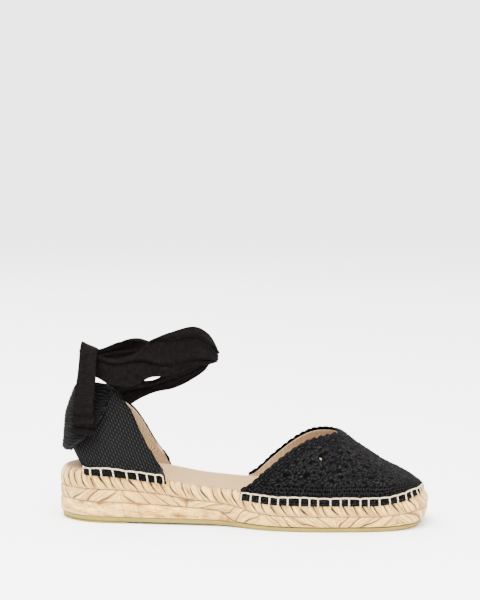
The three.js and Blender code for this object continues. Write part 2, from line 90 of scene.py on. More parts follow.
def finish_of(name, **values):
    """A material with its one shader, whose plain sockets are set."""
    material = bpy.data.materials.new(name)
    material.use_nodes = True
    shader = material.node_tree.nodes["Principled BSDF"]
    for socket, value in values.items():
        shader.inputs[socket.replace("_", " ")].default_value = value
    return material, shader


FLAT, CURVE, SWEEP_TOP = 2.6, 1.4, 3.4
sweep_mesh = bmesh.new()
profile = [(0, 0), (0.4, 0), (1.2, 0), (FLAT, 0)]
profile += [
    (FLAT + CURVE * math.sin(a), CURVE - CURVE * math.cos(a)) for a in np.linspace(0.1, math.pi / 2, 12)
]
profile.append((FLAT + CURVE, SWEEP_TOP))
line = [sweep_mesh.verts.new((out, 0, up)) for out, up in profile]
edges = [sweep_mesh.edges.new(pair) for pair in zip(line, line[1:])]
bmesh.ops.spin(
    sweep_mesh, geom=line + edges, cent=(0, 0, 0), axis=(0, 0, 1), angle=2 * math.pi, steps=72,
    use_merge=True,
)
bmesh.ops.remove_doubles(sweep_mesh, verts=sweep_mesh.verts, dist=1e-5)
bmesh.ops.recalc_face_normals(sweep_mesh, faces=sweep_mesh.faces)
sweep_data = bpy.data.meshes.new("studio_sweep")
sweep_mesh.to_mesh(sweep_data)
sweep_mesh.free()
sweep_data.shade_smooth()
sweep = bpy.data.objects.new("studio_sweep", sweep_data)
bpy.context.scene.collection.objects.link(sweep)
sweep_paper, _ = finish_of("matt_studio_paper", Base_Color=linear("#f4f4f4"), Roughness=1.0)
sweep_data.materials.append(sweep_paper)

world = bpy.data.worlds.new("studio")
world.use_nodes = True
world.node_tree.nodes["Background"].inputs["Color"].default_value = linear("#ffffff")
world.node_tree.nodes["Background"].inputs["Strength"].default_value = 3.9
bpy.context.scene.world = world
for name, place, size, power in (
    ("light_above", (-0.2, -0.6, 1.7), 1.2, 120),
    ("light_front", (0.7, -1.5, 0.7), 0.8, 22),
    ("light_back", (-0.8, 1.2, 1.3), 1.0, 30),
):
    lamp = bpy.data.objects.new(name, bpy.data.lights.new(name, "AREA"))
    bpy.context.scene.collection.objects.link(lamp)
    lamp.data.size = size
    lamp.data.energy = power
    lamp.location = place
    lamp.rotation_mode = "QUATERNION"
    lamp.rotation_quaternion = (Vector((0, 0, 0.04)) - Vector(place)).to_track_quat("-Z", "Y")


# The tread
# One sheet of thin crepe rubber, moulded and cut to the sole's outline and bonded under the jute, with a
# second thin piece under the heel. Pale yellow, matt, a little darker and greener than the jute.
rubber, rubber_shader = finish_of(
    "crepe_rubber", Roughness=0.62, IOR=1.52, Subsurface_Weight=0.03, Specular_IOR_Level=0.35
)
place = node(rubber, "ShaderNodeTexCoord").outputs["Object"]
cloudy = node(rubber, "ShaderNodeTexNoise", {"Vector": place, "Scale": 70, "Detail": 4, "Roughness": 0.6})
grain = node(rubber, "ShaderNodeTexNoise", {"Vector": place, "Scale": 900, "Detail": 2})
rubber_colour = node(
    rubber, "ShaderNodeMix",
    {0: cloudy.outputs["Fac"], 6: linear("#6e5c18"), 7: linear("#8d7a30")}, data_type="RGBA",
)
rubber_bump = node(
    rubber, "ShaderNodeBump", {"Height": grain.outputs["Fac"], "Strength": 0.25, "Distance": 0.0004}
)
rubber.node_tree.links.new(rubber_colour.outputs[2], rubber_shader.inputs["Base Color"])
rubber.node_tree.links.new(rubber_bump.outputs["Normal"], rubber_shader.inputs["Normal"])
for name in ("outsole", "heel_lift"):
    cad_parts[name].data.materials.clear()
    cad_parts[name].data.materials.append(rubber)


# The jute sole
# Three coils of thick plaited jute, each glued and sewn on the one below: a wedge under the heel, a full
# layer over it and a top layer whose strands sweep down and forward. Its outline is the solid's own. Each
# table gives a share of the sole's length and a width, a shift or a share of a height there.
MM = 0.001
LENGTH, BALL, WAIST, HEEL = 255, 91, 61, 66
HEEL_HEIGHT, FORE_HEIGHT, TOE_LIFT, TOE_SHOULDER = 35.5, 23, 3, 4
UPPER_COIL, WEDGE_COIL, RUBBER, ARCH_LIFT, RUBBER_SPRING = 12.2, 10, 2.9, 1.5, 0.7
HEEL_END, TOE_END = 0.135, 0.18
GAP = 0.3
plan_width = [
    (0.0, 0.98 * HEEL), (0.14, HEEL), (0.28, 0.98 * HEEL), (0.44, WAIST),
    (0.58, 0.92 * BALL), (0.7, BALL), (0.83, 0.94 * BALL), (1.0, 0.82 * BALL),
]
plan_swing = [
    (0.0, 0.0), (0.14, 0.0), (0.28, -0.012 * BALL), (0.44, -0.03 * BALL),
    (0.58, -0.03 * BALL), (0.7, 0.0), (0.83, 0.025 * BALL), (1.0, 0.05 * BALL),
]
climb = [
    (0.0, 1.0), (0.12, 0.98), (0.28, 0.68), (0.38, 0.38), (0.44, 0.28),
    (0.495, 0.16), (0.54, 0.08), (0.62, 0.0), (1.0, 0.0),
]
upper_share = [
    (0.0, 1.0), (0.12, 0.95), (0.28, 0.8), (0.38, 0.79), (0.44, 0.8),
    (0.495, 0.84), (0.54, 0.97), (0.62, 1.0), (1.0, 1.0),
]
wedge_share = [
    (0.0, 1.0), (0.12, 1.0), (0.28, 0.9), (0.38, 0.77), (0.44, 0.68),
    (0.495, 0.01), (0.54, 0.01), (1.0, 0.01),
]
arch_share = [
    (0.0, 1.0), (0.38, 1.0), (0.44, 0.85), (0.495, 0.55), (0.54, 0.25), (0.62, 0.0), (1.0, 0.0),
]
spring_share = [(0.0, 0.0), (0.86, 0.0), (0.93, 0.3), (1.0, 1.0)]


def from_table(rows, at):
    """Value of a table at each share, by a smooth curve that never overshoots a row."""
    knots, values = (np.array(part, float) for part in zip(*rows))
    step = np.diff(values) / np.diff(knots)
    slope = np.zeros(len(knots))
    same = step[:-1] * step[1:] > 0
    slope[1:-1][same] = 2 * step[:-1][same] * step[1:][same] / (step[:-1][same] + step[1:][same])
    at = np.clip(np.asarray(at, float), knots[0], knots[-1])
    i = np.clip(np.searchsorted(knots, at, side="right") - 1, 0, len(knots) - 2)
    span = knots[i + 1] - knots[i]
    t = (at - knots[i]) / span
    rise = t * t * (3 - 2 * t)
    bend = t * (1 - t) ** 2 * span * slope[i] + t * t * (t - 1) * span * slope[i + 1]
    return values[i] * (1 - rise) + values[i + 1] * rise + bend


def end_round(at):
    """Share of the full width that the round heel and the squarer toe leave."""
    heel = np.maximum(0, 1 - np.maximum(0, 1 - at / HEEL_END) ** 2) ** 0.5
    toe = np.maximum(0, 1 - np.maximum(0, 1 - (1 - at) / TOE_END) ** 3) ** (1 / 3)
    return heel * toe


turns = np.linspace(0, 2 * np.pi, 4001)
shares = (1 - np.cos(turns)) / 2
sides = np.where(turns <= np.pi, -1, 1)
outline_x = shares * LENGTH
outline_y = from_table(plan_swing, shares) + sides * 0.5 * from_table(plan_width, shares) * end_round(shares)
middle_y = (outline_y.min() + outline_y.max()) / 2
run = np.concatenate([[0], np.cumsum(np.hypot(np.diff(outline_x), np.diff(outline_y)))])
PERIMETER = run[-1]


def on_outline(around, out=0.0):
    """Points on the sole's outline at shares of the way round, moved outwards, in millimetres."""
    at = (np.asarray(around, float) % 1) * PERIMETER
    near = 1.5
    x, y = np.interp(at, run, outline_x), np.interp(at, run, outline_y)
    after, before = (at + near) % PERIMETER, (at - near) % PERIMETER
    dx = np.interp(after, run, outline_x) - np.interp(before, run, outline_x)
    dy = np.interp(after, run, outline_y) - np.interp(before, run, outline_y)
    size = np.hypot(dx, dy)
    return x + dy / size * out, y - dx / size * out


def sole_top(x):
    at = x / LENGTH
    level = FORE_HEIGHT + (HEEL_HEIGHT - FORE_HEIGHT) * from_table(climb, at)
    return level + TOE_LIFT * from_table(spring_share, at)


def upper_line(x):
    return sole_top(x) - UPPER_COIL * from_table(upper_share, x / LENGTH)


def rubber_top(x):
    at = x / LENGTH
    return ARCH_LIFT * from_table(arch_share, at) + RUBBER_SPRING * from_table(spring_share, at) + RUBBER


def wedge_top(x):
    return rubber_top(x) + GAP + WEDGE_COIL * from_table(wedge_share, x / LENGTH)


def ripple(around, lowest, highest, seed):
    """A wandering value from -1 to 1 that closes on itself once round the sole."""
    draws = np.random.default_rng(seed)
    total = np.zeros_like(np.asarray(around, float))
    for harmonic in range(lowest, highest + 1):
        total = total + draws.normal() * np.sin(2 * np.pi * (harmonic * around + draws.random()))
    return np.clip(total / (1.2 * math.sqrt(highest - lowest + 1)), -1, 1)


def grid_piece(name, columns, rows, place, thread, relief=None, colours=None):
    """A fine grid laid over a shape. All functions take its shares along and up, as arrays of one size.
    thread is the map in millimetres that its pattern follows, relief moves it outwards in millimetres, and
    colours are named values kept at its points."""
    along, up = np.meshgrid(np.linspace(0, 1, columns + 1), np.linspace(0, 1, rows + 1), indexing="ij")
    points = place(along, up)
    if relief is not None:
        normal = np.cross(np.gradient(points, axis=0), np.gradient(points, axis=1))
        normal /= np.maximum(np.linalg.norm(normal, axis=2, keepdims=True), 1e-9)
        points = points + relief(along, up)[..., None] * normal
    points = points - [LENGTH / 2, middle_y, 0]
    made = bmesh.new()
    uv = made.loops.layers.uv.new("thread")
    bmesh.ops.create_grid(made, x_segments=columns, y_segments=rows, size=0.5, calc_uvs=True)
    at = np.rint((np.array([v.co[:2] for v in made.verts]) + 0.5) * [columns, rows]).astype(int)
    for vertex, point in zip(made.verts, points[at[:, 0], at[:, 1]] * MM):
        vertex.co = point
    for label, values in (colours or {}).items():
        layer = made.verts.layers.float.new(label)
        for vertex, value in zip(made.verts, values(along, up)[at[:, 0], at[:, 1]]):
            vertex[layer] = value
    across, rise = thread(along, up)
    for face in made.faces:
        for loop in face.loops:
            i, j = round(loop[uv].uv.x * columns), round(loop[uv].uv.y * rows)
            loop[uv].uv = (across[i, j], rise[i, j])
    bmesh.ops.remove_doubles(made, verts=made.verts, dist=2e-6)
    bmesh.ops.recalc_face_normals(made, faces=made.faces)
    data = bpy.data.meshes.new(name)
    made.to_mesh(data)
    made.free()
    data.shade_smooth()
    piece = bpy.data.objects.new(name, data)
    bpy.context.scene.collection.objects.link(piece)
    return piece


def dressed(piece, material, solid):
    """Gives a piece its material and lets it stand for its solid."""
    piece.data.materials.append(material)
    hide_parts(solid)
    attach(piece, "root")
    return piece


# Raw plaited jute: dull straw yellow with a faint sheen from its loose fibres. Its fibres are about 0.1 mm
# and are drawn about 0.8 mm wide and ten times as long, so that they show, with a few brown specks.
jute, jute_shader = finish_of(
    "plaited_jute", Roughness=0.92, Specular_IOR_Level=0.15, Sheen_Weight=0.25
)
thread_map = node(jute, "ShaderNodeUVMap", uv_map="thread").outputs["UV"]
streaks = {}
for label, per_mm, detail, rough_share in (
    ("fibres", (1.25, 0.11, 1), 5, 0.65),
    ("bundles", (0.5, 0.07, 1), 3, 0.6),
    ("specks", (1.4, 0.35, 1), 2, 0.5),
):
    streak_place = node(jute, "ShaderNodeMapping", {"Vector": thread_map, "Scale": per_mm})
    streaks[label] = node(jute, "ShaderNodeTexNoise", {
        "Vector": streak_place.outputs["Vector"], "Scale": 1, "Detail": detail, "Roughness": rough_share,
    })
both = node(
    jute, "ShaderNodeMath", {0: streaks["fibres"].outputs["Fac"], 1: streaks["bundles"].outputs["Fac"]},
    operation="ADD",
)
fibre_tone = node(jute, "ShaderNodeMapRange", {0: both.outputs[0], 1: 0.7, 2: 1.22}).outputs[0]
speck_mask = node(jute, "ShaderNodeMapRange", {0: streaks["specks"].outputs["Fac"], 1: 0.63, 2: 0.7})
patches = node(
    jute, "ShaderNodeTexNoise",
    {"Vector": node(jute, "ShaderNodeTexCoord").outputs["Object"], "Scale": 45, "Detail": 2},
)
pale = node(
    jute, "ShaderNodeMix",
    {0: fibre_tone, 6: linear("#70460e"), 7: linear("#fcd480")}, data_type="RGBA",
)
patched = node(
    jute, "ShaderNodeMix",
    {0: patches.outputs["Fac"], 6: linear("#e6cfa4"), 7: linear("#ffffff")}, data_type="RGBA",
)
toned = node(
    jute, "ShaderNodeMix", {0: 1.0, 6: pale.outputs[2], 7: patched.outputs[2]}, data_type="RGBA",
    blend_type="MULTIPLY",
)
speckled = node(
    jute, "ShaderNodeMix",
    {0: speck_mask.outputs[0], 6: toned.outputs[2], 7: linear("#4a2a0c")}, data_type="RGBA",
)
# Real brown stains, with painted shade along the top coil's seam under the insole.
stained_and_seam_shaded = node(
    jute, "ShaderNodeMix",
    {0: node(jute, "ShaderNodeAttribute", attribute_name="stain_and_seam_shade").outputs["Fac"], 6: speckled.outputs[2],
     7: linear("#5c300c")},
    data_type="RGBA",
)
# Painted shade, darkest in the grooves between the strands.
shaded = node(
    jute, "ShaderNodeMix",
    {0: node(jute, "ShaderNodeAttribute", attribute_name="groove_shade").outputs["Fac"], 6: stained_and_seam_shaded.outputs[2],
     7: linear("#0d0501")},
    data_type="RGBA",
)
jute_bump = node(
    jute, "ShaderNodeBump", {"Height": both.outputs[0], "Strength": 0.9, "Distance": 0.0008}
)
jute.node_tree.links.new(shaded.outputs[2], jute_shader.inputs["Base Color"])
jute.node_tree.links.new(jute_bump.outputs["Normal"], jute_shader.inputs["Normal"])


def jute_layer(name, bottom, top, side, recess, strands, lean, arc=(0.0, 1.0), columns=1800):
    """One coil of plait as a ring under the edge of the insole. strands gives, from the shares round the
    sole and up the coil, the count of strands so far, the depth between them, how dark the painted shade in
    the gaps is and the brown tint, which is real stain and painted shade along the top seam. lean is how far
    a strand has moved forward there, and arc the part of the way it covers."""
    under, lap = -14, -3.7
    up_side = np.linspace(0, 1, 27)
    row_up = np.concatenate([[0, 0], up_side, [1, 1, 1, 0]])
    row_out = np.concatenate([
        [under, side["out"][0][1] - 2], from_table(side["out"], up_side), [lap, lap, under, under],
    ])
    row_out[-4:-2] = min(lap, row_out[-5] - 0.6)
    row_tuck = np.concatenate([[0, 0], from_table(side["tuck"], up_side), [side["tuck"][-1][1]] * 3, [0]])
    row_drop = np.concatenate([np.zeros(len(up_side) + 3), [recess, recess, 0]])
    row_relief = np.concatenate([
        [0, 0], np.interp(up_side, [0, 0.08, 0.9, 1], [0.2, 1, 1, 0.75]), [0.5, 0.3, 0, 0],
    ])
    last = len(row_up) - 1

    def spread(along, up):
        """The share round the whole sole, and each point's row in the lists above."""
        return arc[0] + along * (arc[1] - arc[0]), np.rint(up * last).astype(int)

    def place(along, up):
        around, row = spread(along, up)
        x_edge, _ = on_outline(around)
        pull = row_tuck[row] * from_table(spring_share, x_edge / LENGTH)
        x, y = on_outline(around, row_out[row] - pull)
        z = bottom(x) + row_up[row] * (top(x) - bottom(x)) - row_drop[row]
        return np.stack([x, y, z], axis=2)

    def facts(along, up):
        around, row = spread(along, up)
        phase, depth, dark, tint = strands(around, row_up[row])
        return phase % 1, np.abs(2 * (phase % 1) - 1), depth, dark, tint, row_relief[row]

    def relief(along, up):
        part, across, depth, _, _, share = facts(along, up)
        fluff = 0.1 * ripple(along, 180, 260, 5)
        return share * (depth * (0.25 * part - across ** 6) + fluff)

    # Painted shade in the grooves between the strands, as dark as the strands say.
    def groove_shade(along, up):
        _, across, _, dark, _, share = facts(along, up)
        return np.clip(1.5 * share * dark * np.clip((across - 0.77) / 0.14, 0, 1) ** 0.8, 0, 1)

    # Real brown stains, with painted shade along the top coil's seam under the insole.
    def stain_and_seam_shade(along, up):
        _, _, _, _, tint, share = facts(along, up)
        return tint * share

    def thread(along, up):
        around, row = spread(along, up)
        x_edge, _ = on_outline(around)
        rise = row_up[row] * (top(x_edge) - bottom(x_edge)).mean()
        over = around * PERIMETER - lean(around, row_up[row])
        # A coil that covers a part of the way has its fibres along it, and the others have them across.
        if arc != (0.0, 1.0):
            return 0.5 * rise + 0.02 * over, over
        return over, rise

    piece = grid_piece(name, columns, last, place, thread, relief, {"groove_shade": groove_shade, "stain_and_seam_shade": stain_and_seam_shade})
    dressed(piece, jute, name)


TOP_STRAND, MIDDLE_STRAND, WEDGE_STRAND = 7, 11.5, 17
strand_count = round(PERIMETER / TOP_STRAND)


def top_sweep(around, up):
    """How far a strand of the top coil has swept forward below its upper edge, the same all round."""
    return 6.0 * (1 - up) ** 1.8


def top_strands(around, up):
    wobble = 0.16 * ripple(around, 20, 60, 11)
    phase = around * strand_count - top_sweep(around, up) / TOP_STRAND + wobble
    draws = np.random.default_rng(3).random((4, strand_count + 4))
    index = (np.floor(phase) % strand_count).astype(int)
    depth = 0.9 + 0.6 * draws[0][index]
    dark = (0.72 + 0.28 * draws[1][index]) * np.interp(
        up, [0, 0.12, 0.3, 0.65, 0.9, 1], [0.2, 0.6, 1, 0.95, 0.5, 0.7]
    )
    # Painted shade: a brown band along the top edge, in the seam under the insole. The small tint that
    # differs from strand to strand is the jute's own tone.
    tint = 0.85 * np.clip((up - 0.88) / 0.1, 0, 1) * (0.5 + 0.5 * ripple(around, 60, 160, 13))
    tint = tint + 0.14 * draws[2][index]
    return phase, depth, dark, tint


top_side = {
    "out": [(0, -1.4), (0.06, -0.5), (0.22, 0), (0.45, -0.1), (0.65, -0.6), (0.88, -1.8), (1, -3.4)],
    "tuck": [(0, 0), (0.3, 0), (0.65, 0.6 * TOE_SHOULDER), (1, TOE_SHOULDER)],
}
jute_layer("braid_upper", upper_line, sole_top, top_side, 1.6, top_strands, top_sweep)


def plait_lean(around, up):
    """How far a strand of the lower coils leans forward as it rises, which turns where the plait turns."""
    turn = np.clip(4 * np.sin(2 * np.pi * (7.0 * around + 0.13) + 0.8 * np.sin(4 * np.pi * around)), -1, 1)
    return -11.0 * turn * (up - 0.5)


def middle_strands(around, up):
    count = round(PERIMETER / MIDDLE_STRAND)
    phase = around * count - plait_lean(around, up) / MIDDLE_STRAND + 0.3 * ripple(around, 8, 30, 21)
    index = (np.floor(phase) % count).astype(int)
    draws = np.random.default_rng(7).random((3, count + 4))
    depth = 0.4 + 0.5 * draws[0][index] ** 2
    dark = (0.35 + 0.65 * draws[1][index]) * np.interp(up, [0, 0.2, 0.6, 1], [1, 0.9, 0.6, 0.5])
    return phase, depth, dark, np.zeros_like(phase)


lower_side = {
    "out": [(0, -1.5), (0.08, -0.45), (0.3, 0), (0.7, 0), (0.92, -0.45), (1, -1.5)],
    "tuck": [(0, 2.2), (0.3, 1.5), (0.65, 0.7), (1, 0)],
}
jute_layer(
    "braid_lower", lambda x: wedge_top(x) + GAP, lambda x: upper_line(x) - GAP, lower_side, 0,
    middle_strands, plait_lean, columns=1500,
)


CUT_X, BLOT_X, WEDGE_X = 112, 105, 125
outer_half = run < run[2000]


def wedge_lean(around, up):
    return 0.35 * plait_lean(around + 0.03, up)


def wedge_strands(around, up):
    """The lowest coil's long strands, which end in a brown cut at the waist with one blot behind it."""
    count = round(PERIMETER / WEDGE_STRAND)
    phase = around * count - wedge_lean(around, up) / WEDGE_STRAND + 0.4 * ripple(around, 6, 20, 31)
    index = (np.floor(phase) % count).astype(int)
    draws = np.random.default_rng(9).random((2, count + 4))
    depth = 0.2 + 0.3 * draws[0][index] ** 2
    dark = 0.45 * draws[1][index] ** 3 * np.interp(up, [0, 0.5, 1], [1, 0.6, 0.2])
    x, y = on_outline(around)
    cut_end = np.clip((x - CUT_X) / 6, 0, 1) * np.clip((WEDGE_X + 2 - x) / 3, 0, 1)
    blot = np.exp(-((x - BLOT_X) / 2.8) ** 2 - ((up - 0.35) / 0.4) ** 2) * (y < middle_y)
    tint = np.clip(0.6 * blot + 0.8 * cut_end * (0.6 + 0.4 * ripple(around, 90, 160, 41)), 0, 1)
    return phase, depth, dark, tint


wedge_side = {"out": lower_side["out"], "tuck": [(0, 0), (1, 0)]}
wedge_end = np.interp(WEDGE_X, outline_x[outer_half], run[outer_half]) / PERIMETER
jute_layer(
    "braid_wedge", lambda x: rubber_top(x) + GAP, wedge_top, wedge_side, 0, wedge_strands, wedge_lean,
    (-wedge_end, wedge_end), 900,
)


# The insole
# A board covered with plain beige cotton canvas, glued flush into the top coil. The cloth is matt and even.
# Its threads are about 0.5 mm, drawn 1.2 mm apart so that they show.
canvas, canvas_shader = finish_of("cotton_canvas", Roughness=0.9, Specular_IOR_Level=0.2, Sheen_Weight=0.15)
place = node(canvas, "ShaderNodeTexCoord").outputs["Object"]
warp_and_weft = [
    node(
        canvas, "ShaderNodeTexWave", {"Vector": place, "Scale": 262, "Distortion": 0.6, "Detail": 2},
        bands_direction=way,
    ).outputs["Fac"]
    for way in "XY"
]
weave = node(
    canvas, "ShaderNodeMath", {0: warp_and_weft[0], 1: warp_and_weft[1]}, operation="MULTIPLY"
)
shade_patches = node(canvas, "ShaderNodeTexNoise", {"Vector": place, "Scale": 60, "Detail": 3})
canvas_tone = node(
    canvas, "ShaderNodeMix",
    {0: shade_patches.outputs["Fac"], 6: linear("#9c7434"), 7: linear("#bc924e")}, data_type="RGBA",
)
canvas_colour = node(
    canvas, "ShaderNodeMix", {0: weave.outputs[0], 6: linear("#7c5c32"), 7: canvas_tone.outputs[2]},
    data_type="RGBA",
)
canvas_bump = node(
    canvas, "ShaderNodeBump", {"Height": weave.outputs[0], "Strength": 0.3, "Distance": 0.0003}
)
canvas.node_tree.links.new(canvas_colour.outputs[2], canvas_shader.inputs["Base Color"])
canvas.node_tree.links.new(canvas_bump.outputs["Normal"], canvas_shader.inputs["Normal"])
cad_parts["insole"].data.materials.clear()
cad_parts["insole"].data.materials.append(canvas)


# The vamp
# Black cotton crochet, worked in rows from the hem, with staggered round motifs over the toes and a ribbed
# border round the throat, then drawn over the last with a tan canvas lining inside and sewn to the jute. Its
# surface rises in an arch from the hem to the ridge, and behind that to the rim of the throat.
INSTEP, ARCH_POWER = 44, 2.3
HEM_DROP, HEM_OUT, HEM_LIFT, SHOULDER = 4.8, 0.4, 0.6, 3.2
SKIRT, SCALLOP_WIDE, THROAT_CORNER, THROAT_FRONT = 0.09, 4.4, 0.503, 0.775
HOLE_X, HOLE_Z = 183, 49.4
ridge_share = [
    (0.45, 1.2), (0.62, 1.07), (0.7, 1.0), (0.76, 0.9), (0.8, 0.73), (0.843, 0.56),
    (0.88, 0.42), (0.915, 0.31), (0.95, 0.18), (0.97, 0.08), (0.985, 0.03),
]
rim_share = [
    (0.5, 0.0), (0.503, 0.03), (0.523, 0.11), (0.567, 0.36), (0.617, 0.62), (0.655, 0.77), (0.69, 0.86),
    (0.73, 0.895), (0.762, 0.9), (0.77, 1.6), (1.0, 1.6),
]
corner = np.interp(THROAT_CORNER * LENGTH, outline_x[outer_half], run[outer_half]) / PERIMETER
VAMP_SPAN = (1 - 2 * corner) * PERIMETER


def vamp_edge(around, out, tuck):
    x_edge, _ = on_outline(around)
    return on_outline(around, out - tuck * from_table(spring_share, x_edge / LENGTH))


def vamp_place(along, up, inset=0.0, hem_rise=0.0, rim_drop=0.0, scallop=0.0):
    """The vamp's surface: a short skirt over the jute, then an arch up to the ridge or to the rim."""
    around = corner + along * (1 - 2 * corner)
    x, y = vamp_edge(around, HEM_OUT - 0.35 * SHOULDER - inset, TOE_SHOULDER)
    x_far, y_far = vamp_edge(1 - around, HEM_OUT - 0.35 * SHOULDER - inset, TOE_SHOULDER)
    mid_x, mid_y = (x + x_far) / 2, (y + y_far) / 2
    ridge = np.maximum(0.2, INSTEP * from_table(ridge_share, mid_x / LENGTH) - inset)
    bumps = scallop * np.abs(np.sin(np.pi * along * VAMP_SPAN / SCALLOP_WIDE))
    share = np.clip((INSTEP * from_table(rim_share, x / LENGTH) + bumps - rim_drop) / ridge, 0.02, 1)
    for _ in range(3):
        reach_top = np.clip(1 - share ** ARCH_POWER, 0, 1) ** (1 / ARCH_POWER)
        x_top = mid_x + (x - mid_x) * reach_top
        ridge_top = np.maximum(0.2, INSTEP * from_table(ridge_share, x_top / LENGTH) - inset)
        share = np.clip(
            (INSTEP * from_table(rim_share, x_top / LENGTH) + bumps - rim_drop) / ridge_top, 0.02, 1
        )
    highest = np.arcsin(share ** (ARCH_POWER / 2))
    turn = highest * np.clip((up - SKIRT) / (1 - SKIRT), 0, 1)
    reach = np.cos(turn) ** (2 / ARCH_POWER)
    moved_x, moved_y = mid_x + (x - mid_x) * reach, mid_y + (y - mid_y) * reach
    height = np.maximum(0.2, INSTEP * from_table(ridge_share, moved_x / LENGTH) - inset)
    moved_z = sole_top(moved_x) + height * np.sin(turn) ** (2 / ARCH_POWER)
    down = np.clip(1 - up / SKIRT, 0, 1)
    tuck = TOE_SHOULDER * (1 - 0.1 * down)
    out = HEM_OUT - 0.35 * SHOULDER * (1 - down) ** 2 - inset
    hem_x, hem_y = vamp_edge(around, out, tuck)
    drop = (HEM_DROP - hem_rise) * down * (1 - HEM_LIFT * from_table(spring_share, hem_x / LENGTH))
    low = up < SKIRT
    return np.stack([
        np.where(low, hem_x, moved_x), np.where(low, hem_y, moved_y),
        np.where(low, sole_top(hem_x) - drop, moved_z),
    ], axis=2)


def lengths(points, axis):
    """Millimetres along one way of a grid of points, counted from its start."""
    step = np.linalg.norm(np.diff(points, axis=axis), axis=2)
    zero = np.zeros_like(points[..., 0].take([0], axis=axis))
    return np.concatenate([zero, np.cumsum(step, axis=axis)], axis=axis)


def crochet_facts(along, up):
    """Millimetres along the hem, up the cloth from it, and down from the rim."""
    points = vamp_place(along, up)
    rise = lengths(points, 1)
    across = along * VAMP_SPAN
    from_rim = rise[:, -1:] - rise
    return across, rise, from_rim


def rough(a, b, seed):
    """Smooth noise from -1 to 1 with one bump to a unit of a and b."""
    draws = np.random.default_rng(seed).uniform(-1, 1, (97, 97))
    i, j = np.floor(a).astype(int), np.floor(b).astype(int)
    s, t = a - i, b - j
    s, t = s * s * (3 - 2 * s), t * t * (3 - 2 * t)
    low = draws[i % 97, j % 97] * (1 - s) + draws[(i + 1) % 97, j % 97] * s
    high = draws[i % 97, (j + 1) % 97] * (1 - s) + draws[(i + 1) % 97, (j + 1) % 97] * s
    return low * (1 - t) + high * t


def single_rows(across, rise, wide=3.3, tall=2.5):
    """Rows of single crochet: two slanted lobes for each stitch, set over by half in every other row."""
    row = np.floor(rise / tall)
    a = (across / wide + 0.5 * (row % 2)) % 1 - 0.5
    b = rise / tall - row - 0.5
    left = np.exp(-((a + 0.25 + 0.3 * b) / 0.14) ** 2)
    right = np.exp(-((a - 0.25 - 0.3 * b) / 0.14) ** 2)
    return (left + right) * np.cos(np.pi * b) ** 0.6


def motifs(across, rise, wide=12.0, tall=8.6):
    """Staggered round motifs: a ring of short posts about a small pit, with sunken rings between the motifs,
    which the painted shade darkens.
    """
    row = np.floor(rise / tall)
    a = ((across / wide + 0.5 * (row % 2)) % 1 - 0.5) * wide
    b = (rise / tall - row - 0.45) * tall
    reach = np.hypot(a, 1.25 * b)
    angle = np.arctan2(1.25 * b, a)
    posts = (0.5 + 0.5 * np.cos(angle * 8 + 0.5 * reach)) ** 0.8
    inner = np.exp(-((reach - 2.9) / 1.6) ** 2) * posts
    outer = np.exp(-((reach - 5.4) / 0.8) ** 2) * (0.6 + 0.4 * np.cos(angle * 13))
    pits = np.exp(-(reach / 0.8) ** 2) + np.exp(-((reach - 7.6) / 0.9) ** 2)
    return 1.25 * np.maximum(inner, outer) - 0.6 * pits


def crochet_relief(along, up):
    """Plain rows at the hem, motifs above, the border at the throat and the one hole of the outer side."""
    across, rise, from_rim = crochet_facts(along, up)
    uneven = rough(across / 5, rise / 4, 51)
    bent_across = across + 0.9 * uneven + 0.3 * rough(across / 2, rise / 2, 52)
    bent_rise = rise + 0.45 * rough(across / 7, rise / 6, 53) + 0.25 * rough(across / 2, rise / 2, 54)
    rows = single_rows(bent_across, bent_rise)
    swirl = 2.4 * rough(across / 10, rise / 7, 57)
    fan = motifs(bent_across + 3 + swirl, bent_rise - 12.5 + 1.8 * rough(across / 8, rise / 6, 58))
    fan = 0.75 * fan + 0.35 * single_rows(bent_rise + 0.5 * across + swirl, bent_across, 2.4, 2.1)
    border = single_rows(bent_across + 0.5 * from_rim, from_rim, 2.6, 2.7)
    to_fan = np.clip((rise - 12) / 2.5, 0, 1) * np.clip((from_rim - 8) / 2.5, 0, 1)
    to_fan *= 0.75 + 0.25 * rough(across / 9, rise / 8, 55)
    points = vamp_place(along, up)
    throat = np.clip((THROAT_FRONT * LENGTH - points[..., 0]) / 6, 0, 1)
    to_border = np.clip((9.0 - from_rim) / 2, 0, 1) * throat
    relief = rows * (1 - to_fan) + fan * to_fan
    relief = relief * (1 - to_border) + border * to_border
    relief = relief + 0.12 * rough(across / 0.9, rise / 0.9, 56)
    edges = np.clip(from_rim / 1.0, 0, 1) * throat + (1 - throat)
    relief = np.clip(1.15 * (relief - 0.5) * np.clip(rise / 2, 0.25, 1) * edges, -0.85, 0.9)
    off_hole = np.hypot(points[..., 0] - HOLE_X, points[..., 2] - HOLE_Z)
    return relief - 2.6 * np.exp(-(off_hole / 1.2) ** 2) * (points[..., 1] < 0)


def crochet_light(along, up):
    """How much light the yarn's height lets it catch."""
    return np.clip(0.3 + 1.5 * crochet_relief(along, up), 0, 1)


